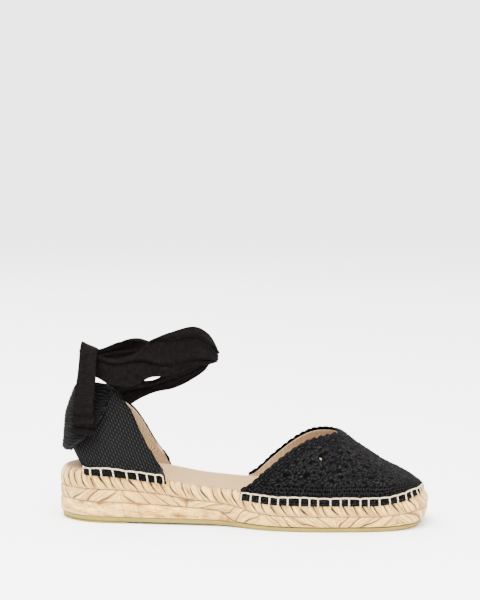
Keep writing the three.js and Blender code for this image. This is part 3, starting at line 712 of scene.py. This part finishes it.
# Dyed cotton yarn: near black and quite matt, with painted highlight where it stands up and painted shade in
# its pits.
crochet, crochet_shader = finish_of("black_cotton_crochet", Roughness=0.8, Specular_IOR_Level=0.03)
yarn_map = node(crochet, "ShaderNodeUVMap", uv_map="thread").outputs["UV"]
yarn = node(
    crochet, "ShaderNodeTexNoise", {"Vector": yarn_map, "Scale": 1.4, "Detail": 4, "Roughness": 0.7}
)
yarn_light = node(
    crochet, "ShaderNodeMath",
    {0: node(crochet, "ShaderNodeAttribute", attribute_name="light").outputs["Fac"], 1: yarn.outputs["Fac"]},
    operation="MULTIPLY",
)
yarn_colour = node(
    crochet, "ShaderNodeMix", {0: yarn_light.outputs[0], 6: linear("#010101"), 7: linear("#2d2c2d")},
    data_type="RGBA",
)
yarn_bump = node(
    crochet, "ShaderNodeBump", {"Height": yarn.outputs["Fac"], "Strength": 0.5, "Distance": 0.0005}
)
crochet.node_tree.links.new(yarn_colour.outputs[2], crochet_shader.inputs["Base Color"])
crochet.node_tree.links.new(yarn_bump.outputs["Normal"], crochet_shader.inputs["Normal"])


def lined(piece, thickness):
    """Gives a cloth its thickness, inwards."""
    wall = piece.modifiers.new("thickness", "SOLIDIFY")
    wall.thickness = thickness * MM
    wall.offset = -1
    wall.use_even_offset = False


vamp = grid_piece(
    "vamp_crochet", 440, 96, lambda a, u: vamp_place(a, u, scallop=0.9),
    lambda a, u: crochet_facts(a, u)[:2], crochet_relief, {"light": crochet_light},
)
lined(dressed(vamp, crochet, "vamp"), 0.8)

# Unbleached cotton canvas: dull tan with darker threads about 1 mm apart and long slubs.
lining, lining_shader = finish_of(
    "tan_canvas_lining", Roughness=0.92, Specular_IOR_Level=0.15, Sheen_Weight=0.2
)
lining_map = node(lining, "ShaderNodeUVMap", uv_map="thread").outputs["UV"]
warp = node(
    lining, "ShaderNodeTexWave", {"Vector": lining_map, "Scale": 0.33, "Distortion": 1.2, "Detail": 2},
    bands_direction="X",
)
slub_place = node(lining, "ShaderNodeMapping", {"Vector": lining_map, "Scale": (0.9, 0.15, 1)})
slubs = node(
    lining, "ShaderNodeTexNoise", {"Vector": slub_place.outputs["Vector"], "Scale": 1, "Detail": 4}
)
lining_tone = node(
    lining, "ShaderNodeMix", {0: slubs.outputs["Fac"], 6: linear("#80664a"), 7: linear("#ccb28c")},
    data_type="RGBA",
)
lining_colour = node(
    lining, "ShaderNodeMix", {0: warp.outputs["Fac"], 6: linear("#6c543a"), 7: lining_tone.outputs[2]},
    data_type="RGBA",
)
lining_bump = node(
    lining, "ShaderNodeBump", {"Height": slubs.outputs["Fac"], "Strength": 0.4, "Distance": 0.0004}
)
lining.node_tree.links.new(lining_colour.outputs[2], lining_shader.inputs["Base Color"])
lining.node_tree.links.new(lining_bump.outputs["Normal"], lining_shader.inputs["Normal"])

vamp_lining = grid_piece(
    "vamp_lining", 220, 50, lambda a, u: vamp_place(a, u, inset=1.8, hem_rise=4.6, rim_drop=2.0),
    lambda a, u: (a * VAMP_SPAN, lengths(vamp_place(a, u), 1)),
)
lined(dressed(vamp_lining, lining, "vamp"), 0.6)


# The heel counter
# A strong black cotton cloth with steep diagonal ribs, cut in one piece round the heel and lined with tan
# canvas, its front edges turned in. It stands on the insole behind and covers the jute's edge at the sides.
COUNTER_HEIGHT, COUNTER_LENGTH, HEEL_ROUND = 96, 75, 0.16 * LENGTH
OUTER_REACH, INNER_REACH = 1.372, 1.292
LAP_X, LAP_RUN, HEM_STAND, LAP_DROP = 17.5, 4, 0.7, 3.0
RIB, RIB_LEAN_X, RIB_LEAN_Z, BEAD = 1.7, 0.92, 0.39, 3.0
counter_back = [
    (0.3, 17.6), (0.385, 16), (0.45, 11.68), (0.55, 7.2), (0.7, 6.08), (0.85, 8), (1.02, 12.48),
]
counter_half = [
    (0.3, 33.4), (0.385, 32.01), (0.45, 30.69), (0.55, 28.38), (0.7, 24.42), (0.85, 21.12), (1.02, 18.48),
]
counter_square = [
    (0.3, 4.0), (0.385, 3.6), (0.45, 3.0), (0.55, 2.5), (0.7, 2.2), (0.85, 2.1), (1.02, 2.0),
]
edge_outer = [
    (-0.2, 0.92), (0.08, 0.935), (0.2, 0.97), (0.37, 0.985), (0.47, 0.96), (0.555, 0.918), (0.6, 0.89),
    (0.64, 0.855), (0.69, 0.8), (0.82, 0.6), (1.01, 0.37), (1.03, 0.28),
]
edge_inner = [
    (-0.2, 0.92), (0.08, 0.935), (0.2, 0.95), (0.37, 0.93), (0.47, 0.88), (0.555, 0.82), (0.6, 0.79),
    (0.64, 0.76), (0.69, 0.71), (0.82, 0.53), (1.01, 0.26), (1.03, 0.18),
]


def heel_section(turn, z, out=0.0, behind=0.0):
    """A point of the cloth round the heel. turn is 0 behind, 1 or -1 where a side begins, more along it."""
    level = z / COUNTER_HEIGHT
    back = from_table(counter_back, level) - out - behind
    half = from_table(counter_half, level) + out
    square = from_table(counter_square, level)
    angle = np.pi / 2 * np.clip(np.abs(turn), 0, 1)
    size = (np.cos(angle) ** square + np.sin(angle) ** square) ** (1 / square)
    x = back + HEEL_ROUND * (1 - np.cos(angle) / size) + 50 * np.maximum(0, np.abs(turn) - 1)
    return x, -np.sign(turn) * half * np.sin(angle) / size


def rim_of_heel(turn, x):
    outer = from_table(edge_outer, x / COUNTER_LENGTH)
    inner = from_table(edge_inner, x / COUNTER_LENGTH)
    side = np.clip(0.5 + turn / 0.8, 0, 1)
    return COUNTER_HEIGHT * (inner + (outer - inner) * side)


def hem_of_heel(x):
    over = np.clip((x - LAP_X) / LAP_RUN, 0, 1)
    return sole_top(x) + HEM_STAND - LAP_DROP * over * over * (3 - 2 * over)


def over_edge(x, y, z):
    """Draws the cloth out over the rounded edge of the jute, where its hem comes down in front of it."""
    half = np.interp(x, outline_x[outer_half], -outline_y[outer_half])
    low = np.clip((sole_top(x) + 4.5 - z) / 5, 0, 1)
    on = np.clip((x - LAP_X) / LAP_RUN, 0, 1)
    share = low * low * (3 - 2 * low) * on * on * (3 - 2 * on)
    target = half + GAP - 0.9 * np.clip((z - sole_top(x) + 2.3) / 3, 0, 1)
    return y + np.sign(y) * share * np.maximum(0, target - np.abs(y))


def counter_place(along, up, out=0.0, low=0.0, drop=0.0):
    """The counter's surface, from the inner front corner round the heel to the outer one."""
    reach = np.where(along > 0.5, OUTER_REACH, INNER_REACH)
    turn = (2 * along - 1) * reach
    z = np.full_like(turn, 50.0)
    for _ in range(30):
        x, _ = heel_section(turn, z, out)
        top = np.maximum(rim_of_heel(turn, x) - drop, hem_of_heel(x) + low + 0.2)
        z = 0.5 * z + 0.5 * (hem_of_heel(x) + low + up * (top - hem_of_heel(x) - low))
    x, y = heel_section(turn, z, out)
    return np.stack([x, over_edge(x, y, z) if out == 0 else y, z], axis=2)


def counter_facts(along, up):
    """Millimetres along the cloth, from the back middle forwards on both sides, and above the floor."""
    points = counter_place(along, up)
    hem = points[:, 0, :2]
    walked = np.concatenate([[0], np.cumsum(np.linalg.norm(np.diff(hem, axis=0), axis=1))])
    walked = np.abs(walked - walked[len(walked) // 2])
    forward = points[..., 0] + (walked - hem[:, 0])[:, None]
    return forward * np.sign(along - 0.5001), points[..., 2]


def twill_relief(along, up):
    across, rise = counter_facts(along, up)
    across = across + 0.25 * rough(across / 6, rise / 6, 61)
    steep = np.abs(across) * RIB_LEAN_X + rise * RIB_LEAN_Z
    number = np.floor(steep / RIB)
    rib = np.sin(np.pi * (steep / RIB - number)) ** 0.7
    beads = np.clip(0.85 + 0.5 * np.sin(2 * np.pi * rise / BEAD + 2.4 * number), 0, 1)
    edge = np.clip((1 - up) / 0.03, 0, 1)
    return 0.5 * (rib * (0.68 + 0.32 * beads) - 0.6) * edge


def twill_light(along, up):
    """How much painted highlight the ribs catch, dimmed in the lowest 4.5 to 6.5 mm above the hem, under the
    stitches.
    """
    points = counter_place(along, up)
    above = points[..., 2] - hem_of_heel(points[..., 0])
    caught = np.clip(-0.2 + 5.5 * twill_relief(along, up), 0, 1) ** 2
    return caught * np.interp(above, [4.5, 6.5], [0.15, 1])


# Dyed ribbed cotton, woven hard: black and matt, with painted highlight as grey flecks along the ribs.
twill, twill_shader = finish_of("black_ribbed_cotton", Roughness=0.7, Specular_IOR_Level=0.04)
twill_map = node(twill, "ShaderNodeUVMap", uv_map="thread").outputs["UV"]
fleck = node(
    twill, "ShaderNodeTexNoise", {"Vector": twill_map, "Scale": 1.1, "Detail": 3, "Roughness": 0.7}
)
fleck_light = node(
    twill, "ShaderNodeMath",
    {0: node(twill, "ShaderNodeAttribute", attribute_name="light").outputs["Fac"], 1: fleck.outputs["Fac"]},
    operation="MULTIPLY",
)
twill_colour = node(
    twill, "ShaderNodeMix", {0: fleck_light.outputs[0], 6: linear("#010101"), 7: linear("#3c3b3c")},
    data_type="RGBA",
)
twill.node_tree.links.new(twill_colour.outputs[2], twill_shader.inputs["Base Color"])

counter = grid_piece(
    "counter_cloth", 430, 100, counter_place, counter_facts, twill_relief, {"light": twill_light},
)
lined(dressed(counter, twill, "counter"), 0.9)
counter_lining = grid_piece(
    "counter_lining", 160, 40, lambda a, u: counter_place(a, u, out=-1.35, low=1.4, drop=1.8), counter_facts,
)
lined(dressed(counter_lining, lining, "counter"), 0.6)


# The heel tab
# A second piece of the same cloth with its ribs lying level, sewn over the back of the heel along its top
# and its diagonal edges, so that the ribbon runs through the tunnel under it. Its lower hem stands away.
TAB_BOTTOM, TAB_HEIGHT, TAB_LENGTH = 48.5, 45, 38
TAB_WALL, TAB_REACH = 1.5, 0.803
TAB_RIB, TAB_BEAD = 2.1, 1.9
tab_stand = [(0.4, 1.95), (0.48, 1.95), (0.6, 1.82), (0.72, 1.82), (0.82, 0.78), (0.9, 0.0), (1.02, 0.0)]
tab_back = [(0.4, 4.68), (0.48, 3.38), (0.6, 1.17), (0.72, 0.13), (0.82, 0.13), (0.9, 0.0), (1.02, 0.0)]
tab_low = [(-1.0, 0.0), (0.2, 0.0), (0.42, 0.118), (0.72, 0.384), (1.0, 0.83), (1.05, 0.95)]


def tab_section(turn, z):
    level = z / COUNTER_HEIGHT
    return heel_section(turn, z, GAP + from_table(tab_stand, level) + TAB_WALL, from_table(tab_back, level))


def tab_place(along, up):
    turn = (2 * along - 1) * TAB_REACH
    z = np.full_like(turn, 70.0)
    for _ in range(30):
        x, _ = tab_section(turn, z)
        low = TAB_BOTTOM + TAB_HEIGHT * from_table(tab_low, x / TAB_LENGTH)
        top = np.maximum(rim_of_heel(turn, x) + GAP, low + 0.2)
        z = 0.5 * z + 0.5 * (low + up * (top - low))
    x, y = tab_section(turn, z)
    return np.stack([x, y, z], axis=2)


def tab_facts(along, up):
    """Millimetres along the cloth from the back middle, and above the floor."""
    points = tab_place(along, up)
    across = lengths(points, 0)
    return across - across[len(across) // 2], points[..., 2]


def tab_relief(along, up):
    """Level ribs that wander a little, with a small roll along the lower hem."""
    across, rise = tab_facts(along, up)
    level = rise + 0.5 * np.sin(across / 3.1) + 0.25 * np.sin(across / 1.3 + rise)
    rib = np.abs(np.sin(np.pi * level / TAB_RIB))
    beads = 0.8 + 0.2 * np.sin(2 * np.pi * across / TAB_BEAD + 3 * np.floor(level / TAB_RIB))
    hem = 0.35 * np.exp(-((up - 0.03) / 0.03) ** 2)
    return 0.8 * (rib * beads - 0.6) * np.clip((1 - up) / 0.04, 0, 1) + hem


# Its light values are painted highlight on the ribs, at about half the counter's.
heel_tab = grid_piece(
    "heel_tab_cloth", 230, 110, tab_place, tab_facts, tab_relief,
    {"light": lambda a, u: 0.55 * np.clip(0.15 + 1.8 * tab_relief(a, u), 0, 0.75)},
)
lined(dressed(heel_tab, twill, "heel_tab"), 1.2)


# The ribbon
# One soft black cotton ribbon, run through the tunnel behind the heel, up beside the ankle, round it as a
# loop and down again over the tab, where its end is tucked in. It is deep black and matt, creased along its
# length where it is gathered, and its threads are drawn as short picks about 0.6 mm wide.
ribbon_cloth, ribbon_shader = finish_of("black_cotton_ribbon", Roughness=0.8, Specular_IOR_Level=0.03)
ribbon_map = node(ribbon_cloth, "ShaderNodeUVMap", uv_map="thread").outputs["UV"]
picks_place = node(ribbon_cloth, "ShaderNodeMapping", {"Vector": ribbon_map, "Scale": (1.6, 0.25, 1)})
picks = node(
    ribbon_cloth, "ShaderNodeTexNoise", {"Vector": picks_place.outputs["Vector"], "Scale": 1, "Detail": 4}
)
pick_tone = node(ribbon_cloth, "ShaderNodeMapRange", {0: picks.outputs["Fac"], 1: 0.34, 2: 0.68})
ribbon_colour = node(
    ribbon_cloth, "ShaderNodeMix", {0: pick_tone.outputs[0], 6: linear("#010101"), 7: linear("#0e0b0a")},
    data_type="RGBA",
)
ribbon_bump = node(
    ribbon_cloth, "ShaderNodeBump", {"Height": picks.outputs["Fac"], "Strength": 0.9, "Distance": 0.0006}
)
ribbon_cloth.node_tree.links.new(ribbon_colour.outputs[2], ribbon_shader.inputs["Base Color"])
ribbon_cloth.node_tree.links.new(ribbon_bump.outputs["Normal"], ribbon_shader.inputs["Normal"])
LOOP_WIDTH, LOOP_HEIGHT, STRAP_HEIGHT, RIBBON_THICK = 62, 135.5, 124, 0.9


def smooth_line(points, closed, at):
    """Points on a smooth line through the given ones, at shares of the way from the first."""
    points = np.array(points, float)
    count = len(points)
    spans = count if closed else count - 1
    if closed:
        ring = np.concatenate([points[-1:], points, points[:2]])
    else:
        ring = np.concatenate([[2 * points[0] - points[1]], points, [2 * points[-1] - points[-2]]])
    at = np.clip(at, 0, 1) * spans
    i = np.minimum(np.floor(at).astype(int), spans - 1)
    t = (at - i)[..., None]
    p0, p1, p2, p3 = (ring[i + k] for k in range(4))
    d0, d1, d2 = (
        np.linalg.norm(b - a, axis=-1, keepdims=True) ** 0.5 for a, b in ((p0, p1), (p1, p2), (p2, p3))
    )
    leave = ((p1 - p0) / d0 - (p2 - p0) / (d0 + d1) + (p2 - p1) / d1) * d1
    arrive = ((p2 - p1) / d1 - (p3 - p1) / (d1 + d2) + (p3 - p2) / d2) * d1
    return (
        p1 + leave * t + (3 * (p2 - p1) - 2 * leave - arrive) * t ** 2
        + (2 * (p1 - p2) + leave + arrive) * t ** 3
    )


def between(low_edge, high_edge, closed=False):
    """The surface of a ribbon between its two edges."""
    def place(along, up):
        low, high = smooth_line(low_edge, closed, along), smooth_line(high_edge, closed, along)
        return low + (high - low) * up[..., None]
    return place


def ribbon_piece(name, solid, columns, rows, place, folds):
    """One run of the ribbon, creased by folds, which gives the millimetres that each point stands out."""
    def thread(along, up):
        points = place(along, up)
        return lengths(points, 0), lengths(points, 1)

    piece = dressed(grid_piece(name, columns, rows, place, thread, folds), ribbon_cloth, solid)
    wall = piece.modifiers.new("thickness", "SOLIDIFY")
    wall.thickness = RIBBON_THICK * MM
    wall.offset = 0


# Each row of the loop and of the lower turn gives the share of the sole's length, the share of half the
# loop's width to the side, and the shares of the loop's height at the ribbon's lower and upper edge.
loop_rows = [
    (0.054, -0.19, 0.737, 0.855), (0.067, -0.49, 0.736, 0.865), (0.106, -0.72, 0.736, 0.85),
    (0.157, -0.92, 0.7, 0.835), (0.216, -1.0, 0.706, 0.865), (0.259, -0.98, 0.746, 0.934),
    (0.314, -0.9, 0.755, 0.978), (0.369, -0.66, 0.792, 1.0), (0.405, -0.34, 0.799, 0.956),
    (0.425, 0.0, 0.803, 0.876), (0.415, 0.35, 0.79, 0.869), (0.384, 0.66, 0.765, 0.872),
    (0.329, 0.85, 0.735, 0.872), (0.259, 0.94, 0.708, 0.854), (0.196, 0.94, 0.708, 0.892),
    (0.141, 0.84, 0.708, 0.872), (0.094, 0.63, 0.715, 0.84), (0.061, 0.29, 0.73, 0.847),
]
turn_rows = [
    (0.104, 0.94, 0.41, 0.668), (0.176, 0.97, 0.545, 0.672), (0.235, 0.93, 0.607, 0.674),
    (0.294, 0.8, 0.637, 0.742), (0.345, 0.62, 0.687, 0.785), (0.384, 0.36, 0.743, 0.83),
    (0.4, 0.08, 0.785, 0.855),
]


def edge_line(rows, which):
    return [(row[0] * LENGTH, row[1] * LOOP_WIDTH / 2, row[which] * LOOP_HEIGHT) for row in rows]


def crease(up, at, depth, width):
    """A sharp fold along the ribbon, with the cloth above it rolled over the cloth below."""
    away = up - at
    return depth * (0.6 * np.exp(-((away - width) / width) ** 2) - np.exp(-(np.abs(away) / (0.5 * width))))


def loop_folds(along, up):
    """Two long creases that cross the loop, placed by its rows, with broad and fine waves."""
    seat = along * len(loop_rows)
    lower_at = np.interp(
        seat, [0, 4, 4.6, 5.2, 6, 7, 9, 11, 14, 18],
        [0.85, 0.78, 0.55, 0.32, 0.22, 0.18, 0.1, 0.3, 0.6, 0.85],
    )
    upper_at = np.interp(seat, [0, 4.6, 5, 6, 7, 9, 12, 18], [1.2, 1.05, 0.95, 0.8, 0.74, 0.6, 0.8, 1.2])
    fine = 0.18 * np.sin(2 * np.pi * (3.2 * up + 0.9 * np.sin(2 * np.pi * along) + 2 * along))
    broad = 0.5 * np.sin(2 * np.pi * (1.3 * up + 3 * along))
    fade = np.interp(seat, [0, 1, 2.5, 8.5, 10, 16, 18], [0.1, 0.2, 1, 1, 0.6, 0.6, 0.1])
    return fade * (crease(up, lower_at, 2.2, 0.07) + crease(up, upper_at, 2.0, 0.07) + broad) + fine


ribbon_piece(
    "ribbon_loop_cloth", "ribbon_loop", 420, 44,
    between(edge_line(loop_rows, 2), edge_line(loop_rows, 3), closed=True), loop_folds,
)


def turn_folds(along, up):
    return crease(up, 0.55 - 0.3 * along, 0.8, 0.1) + 0.3 * np.sin(2 * np.pi * (1.6 * up + 1.5 * along))


ribbon_piece(
    "ribbon_lower_turn_cloth", "ribbon_lower_turn", 200, 30,
    between(edge_line(turn_rows, 2), edge_line(turn_rows, 3)), turn_folds,
)

# Each row of the strap, from its tucked end up and over the loop, gives the share of its height, how much
# lower its front edge is, and for each edge the shares of the tab's length and of half the loop's width.
strap_rows = [
    (0.485, 0.0, 0.28, 0.74, 0.74, 0.99), (0.6, 0.0, 0.295, 0.7, 0.71, 0.955),
    (0.71, 0.0, 0.33, 0.65, 0.71, 0.91), (0.83, 0.01, 0.38, 0.61, 0.735, 0.87),
    (0.96, 0.03, 0.42, 0.6, 0.75, 0.85), (0.99, 0.03, 0.43, 0.48, 0.755, 0.735),
    (0.96, 0.03, 0.44, 0.36, 0.765, 0.62), (0.86, 0.02, 0.45, 0.35, 0.77, 0.61),
]
strap_back, strap_front = [], []
for high, lower, back_x, back_y, front_x, front_y in strap_rows:
    strap_back.append((back_x * TAB_LENGTH, -back_y * LOOP_WIDTH / 2, high * STRAP_HEIGHT))
    strap_front.append((front_x * TAB_LENGTH, -front_y * LOOP_WIDTH / 2, (high - lower) * STRAP_HEIGHT))


def strap_folds(along, up):
    """Rolls across the ribbon at its tucked end, and a faint wave along it."""
    bunch = np.clip(1 - along / 0.2, 0, 1) ** 0.7
    rolls = np.sin(2 * np.pi * (along / 0.075 + 0.25 * up + 0.1 * np.sin(5 * up)))
    return -1.7 * bunch * rolls + 0.12 * np.sin(2 * np.pi * (1.4 * up + along))


ribbon_piece(
    "ribbon_strap_cloth", "ribbon_strap", 260, 40, between(strap_back, strap_front), strap_folds,
)

TUNNEL_LOW, TUNNEL_RISE, TUNNEL_OUT = 51.1, 18, 0.95
INNER_MOUTH, OUTER_MOUTH, MOUTH_SLANT = 0.68, 0.1, 0.4


def turn_at(x, z):
    """The turn on one side at which the ribbon round the heel comes as far forward as x."""
    low, high = np.zeros_like(z), np.ones_like(z)
    for _ in range(30):
        middle = (low + high) / 2
        short = heel_section(middle, z, TUNNEL_OUT)[0] < x
        low, high = np.where(short, middle, low), np.where(short, high, middle)
    return low


def tunnel_place(along, up):
    z = TUNNEL_LOW + TUNNEL_RISE * up
    outer = turn_at(TAB_LENGTH * (OUTER_MOUTH + MOUTH_SLANT * up), z)
    inner = turn_at(TAB_LENGTH * INNER_MOUTH, z)
    x, y = heel_section(along * (outer + inner) - inner, z, TUNNEL_OUT)
    return np.stack([x, y, z], axis=2)


def tunnel_folds(along, up):
    return 0.15 * np.sin(2 * np.pi * (2.6 * up + 0.4 * along))


ribbon_piece(
    "ribbon_tunnel_cloth", "ribbon_tunnel", 120, 30, tunnel_place, tunnel_folds,
)


# The stitches
# A blanket stitch in thick off-white waxed cotton holds the vamp and the counter to the jute. Its line lies
# on the cloth 5 to 6 mm above the hem, and from each loop a bar goes straight down into the jute. The thread
# is smooth and dull, with its plies drawn as fine slanted bands.
THREAD_ROUND, PROUD, STITCH_UNEVEN = 0.56, 0.35, 0.45
thread_cotton, thread_shader = finish_of("waxed_cotton_thread", Roughness=0.7, Specular_IOR_Level=0.3)
ply = node(
    thread_cotton, "ShaderNodeTexWave",
    {"Vector": node(thread_cotton, "ShaderNodeTexCoord").outputs["Object"], "Scale": 260, "Distortion": 2},
    bands_direction="DIAGONAL",
)
thread_colour = node(
    thread_cotton, "ShaderNodeMix", {0: ply.outputs["Fac"], 6: linear("#8d7b5f"), 7: linear("#bfae92")},
    data_type="RGBA",
)
thread_cotton.node_tree.links.new(thread_colour.outputs[2], thread_shader.inputs["Base Color"])


def stitch_row(name, surface, spacing, length, shares, tall):
    """Blanket stitches along a hem. surface gives the point at a share along, and the millimetres above the
    hem and out of the cloth."""
    draws = np.random.default_rng(len(name))
    data = bpy.data.curves.new(name, "CURVE")
    data.dimensions = "3D"
    data.bevel_depth = THREAD_ROUND * MM
    data.bevel_resolution = 2
    data.resolution_u = 3
    count = round((shares[1] - shares[0]) * length / spacing)
    at = np.linspace(shares[0], shares[1], count + 1)
    at[1:-1] += draws.uniform(-0.12, 0.12, count - 1) * spacing / length
    rise = tall + draws.uniform(-STITCH_UNEVEN, STITCH_UNEVEN, count + 1)

    def spline(points):
        made = data.splines.new("POLY")
        made.points.add(len(points) - 1)
        for target, point in zip(made.points, points):
            target.co = (*[float(c) * MM for c in point], 1)

    line = []
    for k in range(count):
        for t in (0, 0.2, 0.4, 0.6, 0.8):
            share = at[k] + (at[k + 1] - at[k]) * t
            lift = rise[k] + (rise[k + 1] - rise[k]) * t + 0.35 * math.sin(math.pi * t)
            line.append(surface(share, lift, PROUD))
    line.append(surface(at[-1], rise[-1], PROUD))
    spline(line)
    for share, top in zip(at, rise):
        bar = (
            (top, PROUD), (0.6 * top, 0.4), (0.25 * top, 0.45), (-0.3, 0.3), (-1.0, -0.5), (-1.6, -1.6),
        )
        spline([surface(share, high, out) for high, out in bar])
    piece = bpy.data.objects.new(name, data)
    bpy.context.scene.collection.objects.link(piece)
    piece.data.materials.append(thread_cotton)
    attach(piece, "root")


def above_hem(place_at):
    """Turns a surface into a function of the share along, the millimetres above the hem and out of it."""
    def point(share, high, out):
        beside, steps = 0.002, 60
        along = np.array([[share - beside] * steps, [share] * steps, [share + beside] * steps])
        up = np.tile(np.linspace(0, 0.6, steps), (3, 1))
        points = place_at(along, up)
        rise = lengths(points, 1)[1]
        column = [np.interp(max(high, 0), rise, points[1, :, k]) for k in range(3)]
        side = points[2, 0] - points[0, 0]
        outwards = np.array([side[1], -side[0], 0]) / max(np.hypot(side[0], side[1]), 1e-9)
        spot = np.array(column) + out * outwards
        spot[2] += min(high, 0)
        return spot - [LENGTH / 2, middle_y, 0]
    return point


stitch_row("vamp_stitches", above_hem(vamp_place), 6.8, VAMP_SPAN, (0.004, 0.996), 5.2)
hem_along, hem_up = np.meshgrid(np.linspace(0, 1, 200), [0.0, 0.1], indexing="ij")
counter_run = float(lengths(counter_place(hem_along, hem_up), 0)[-1, 0])
for name, shares in (
    ("counter_stitches_outer", (0.992 - 58.5 / counter_run, 0.992)),
    ("counter_stitches_inner", (0.008, 0.008 + 54 / counter_run)),
):
    stitch_row(name, above_hem(counter_place), 7.1, counter_run, shares, 5.6)
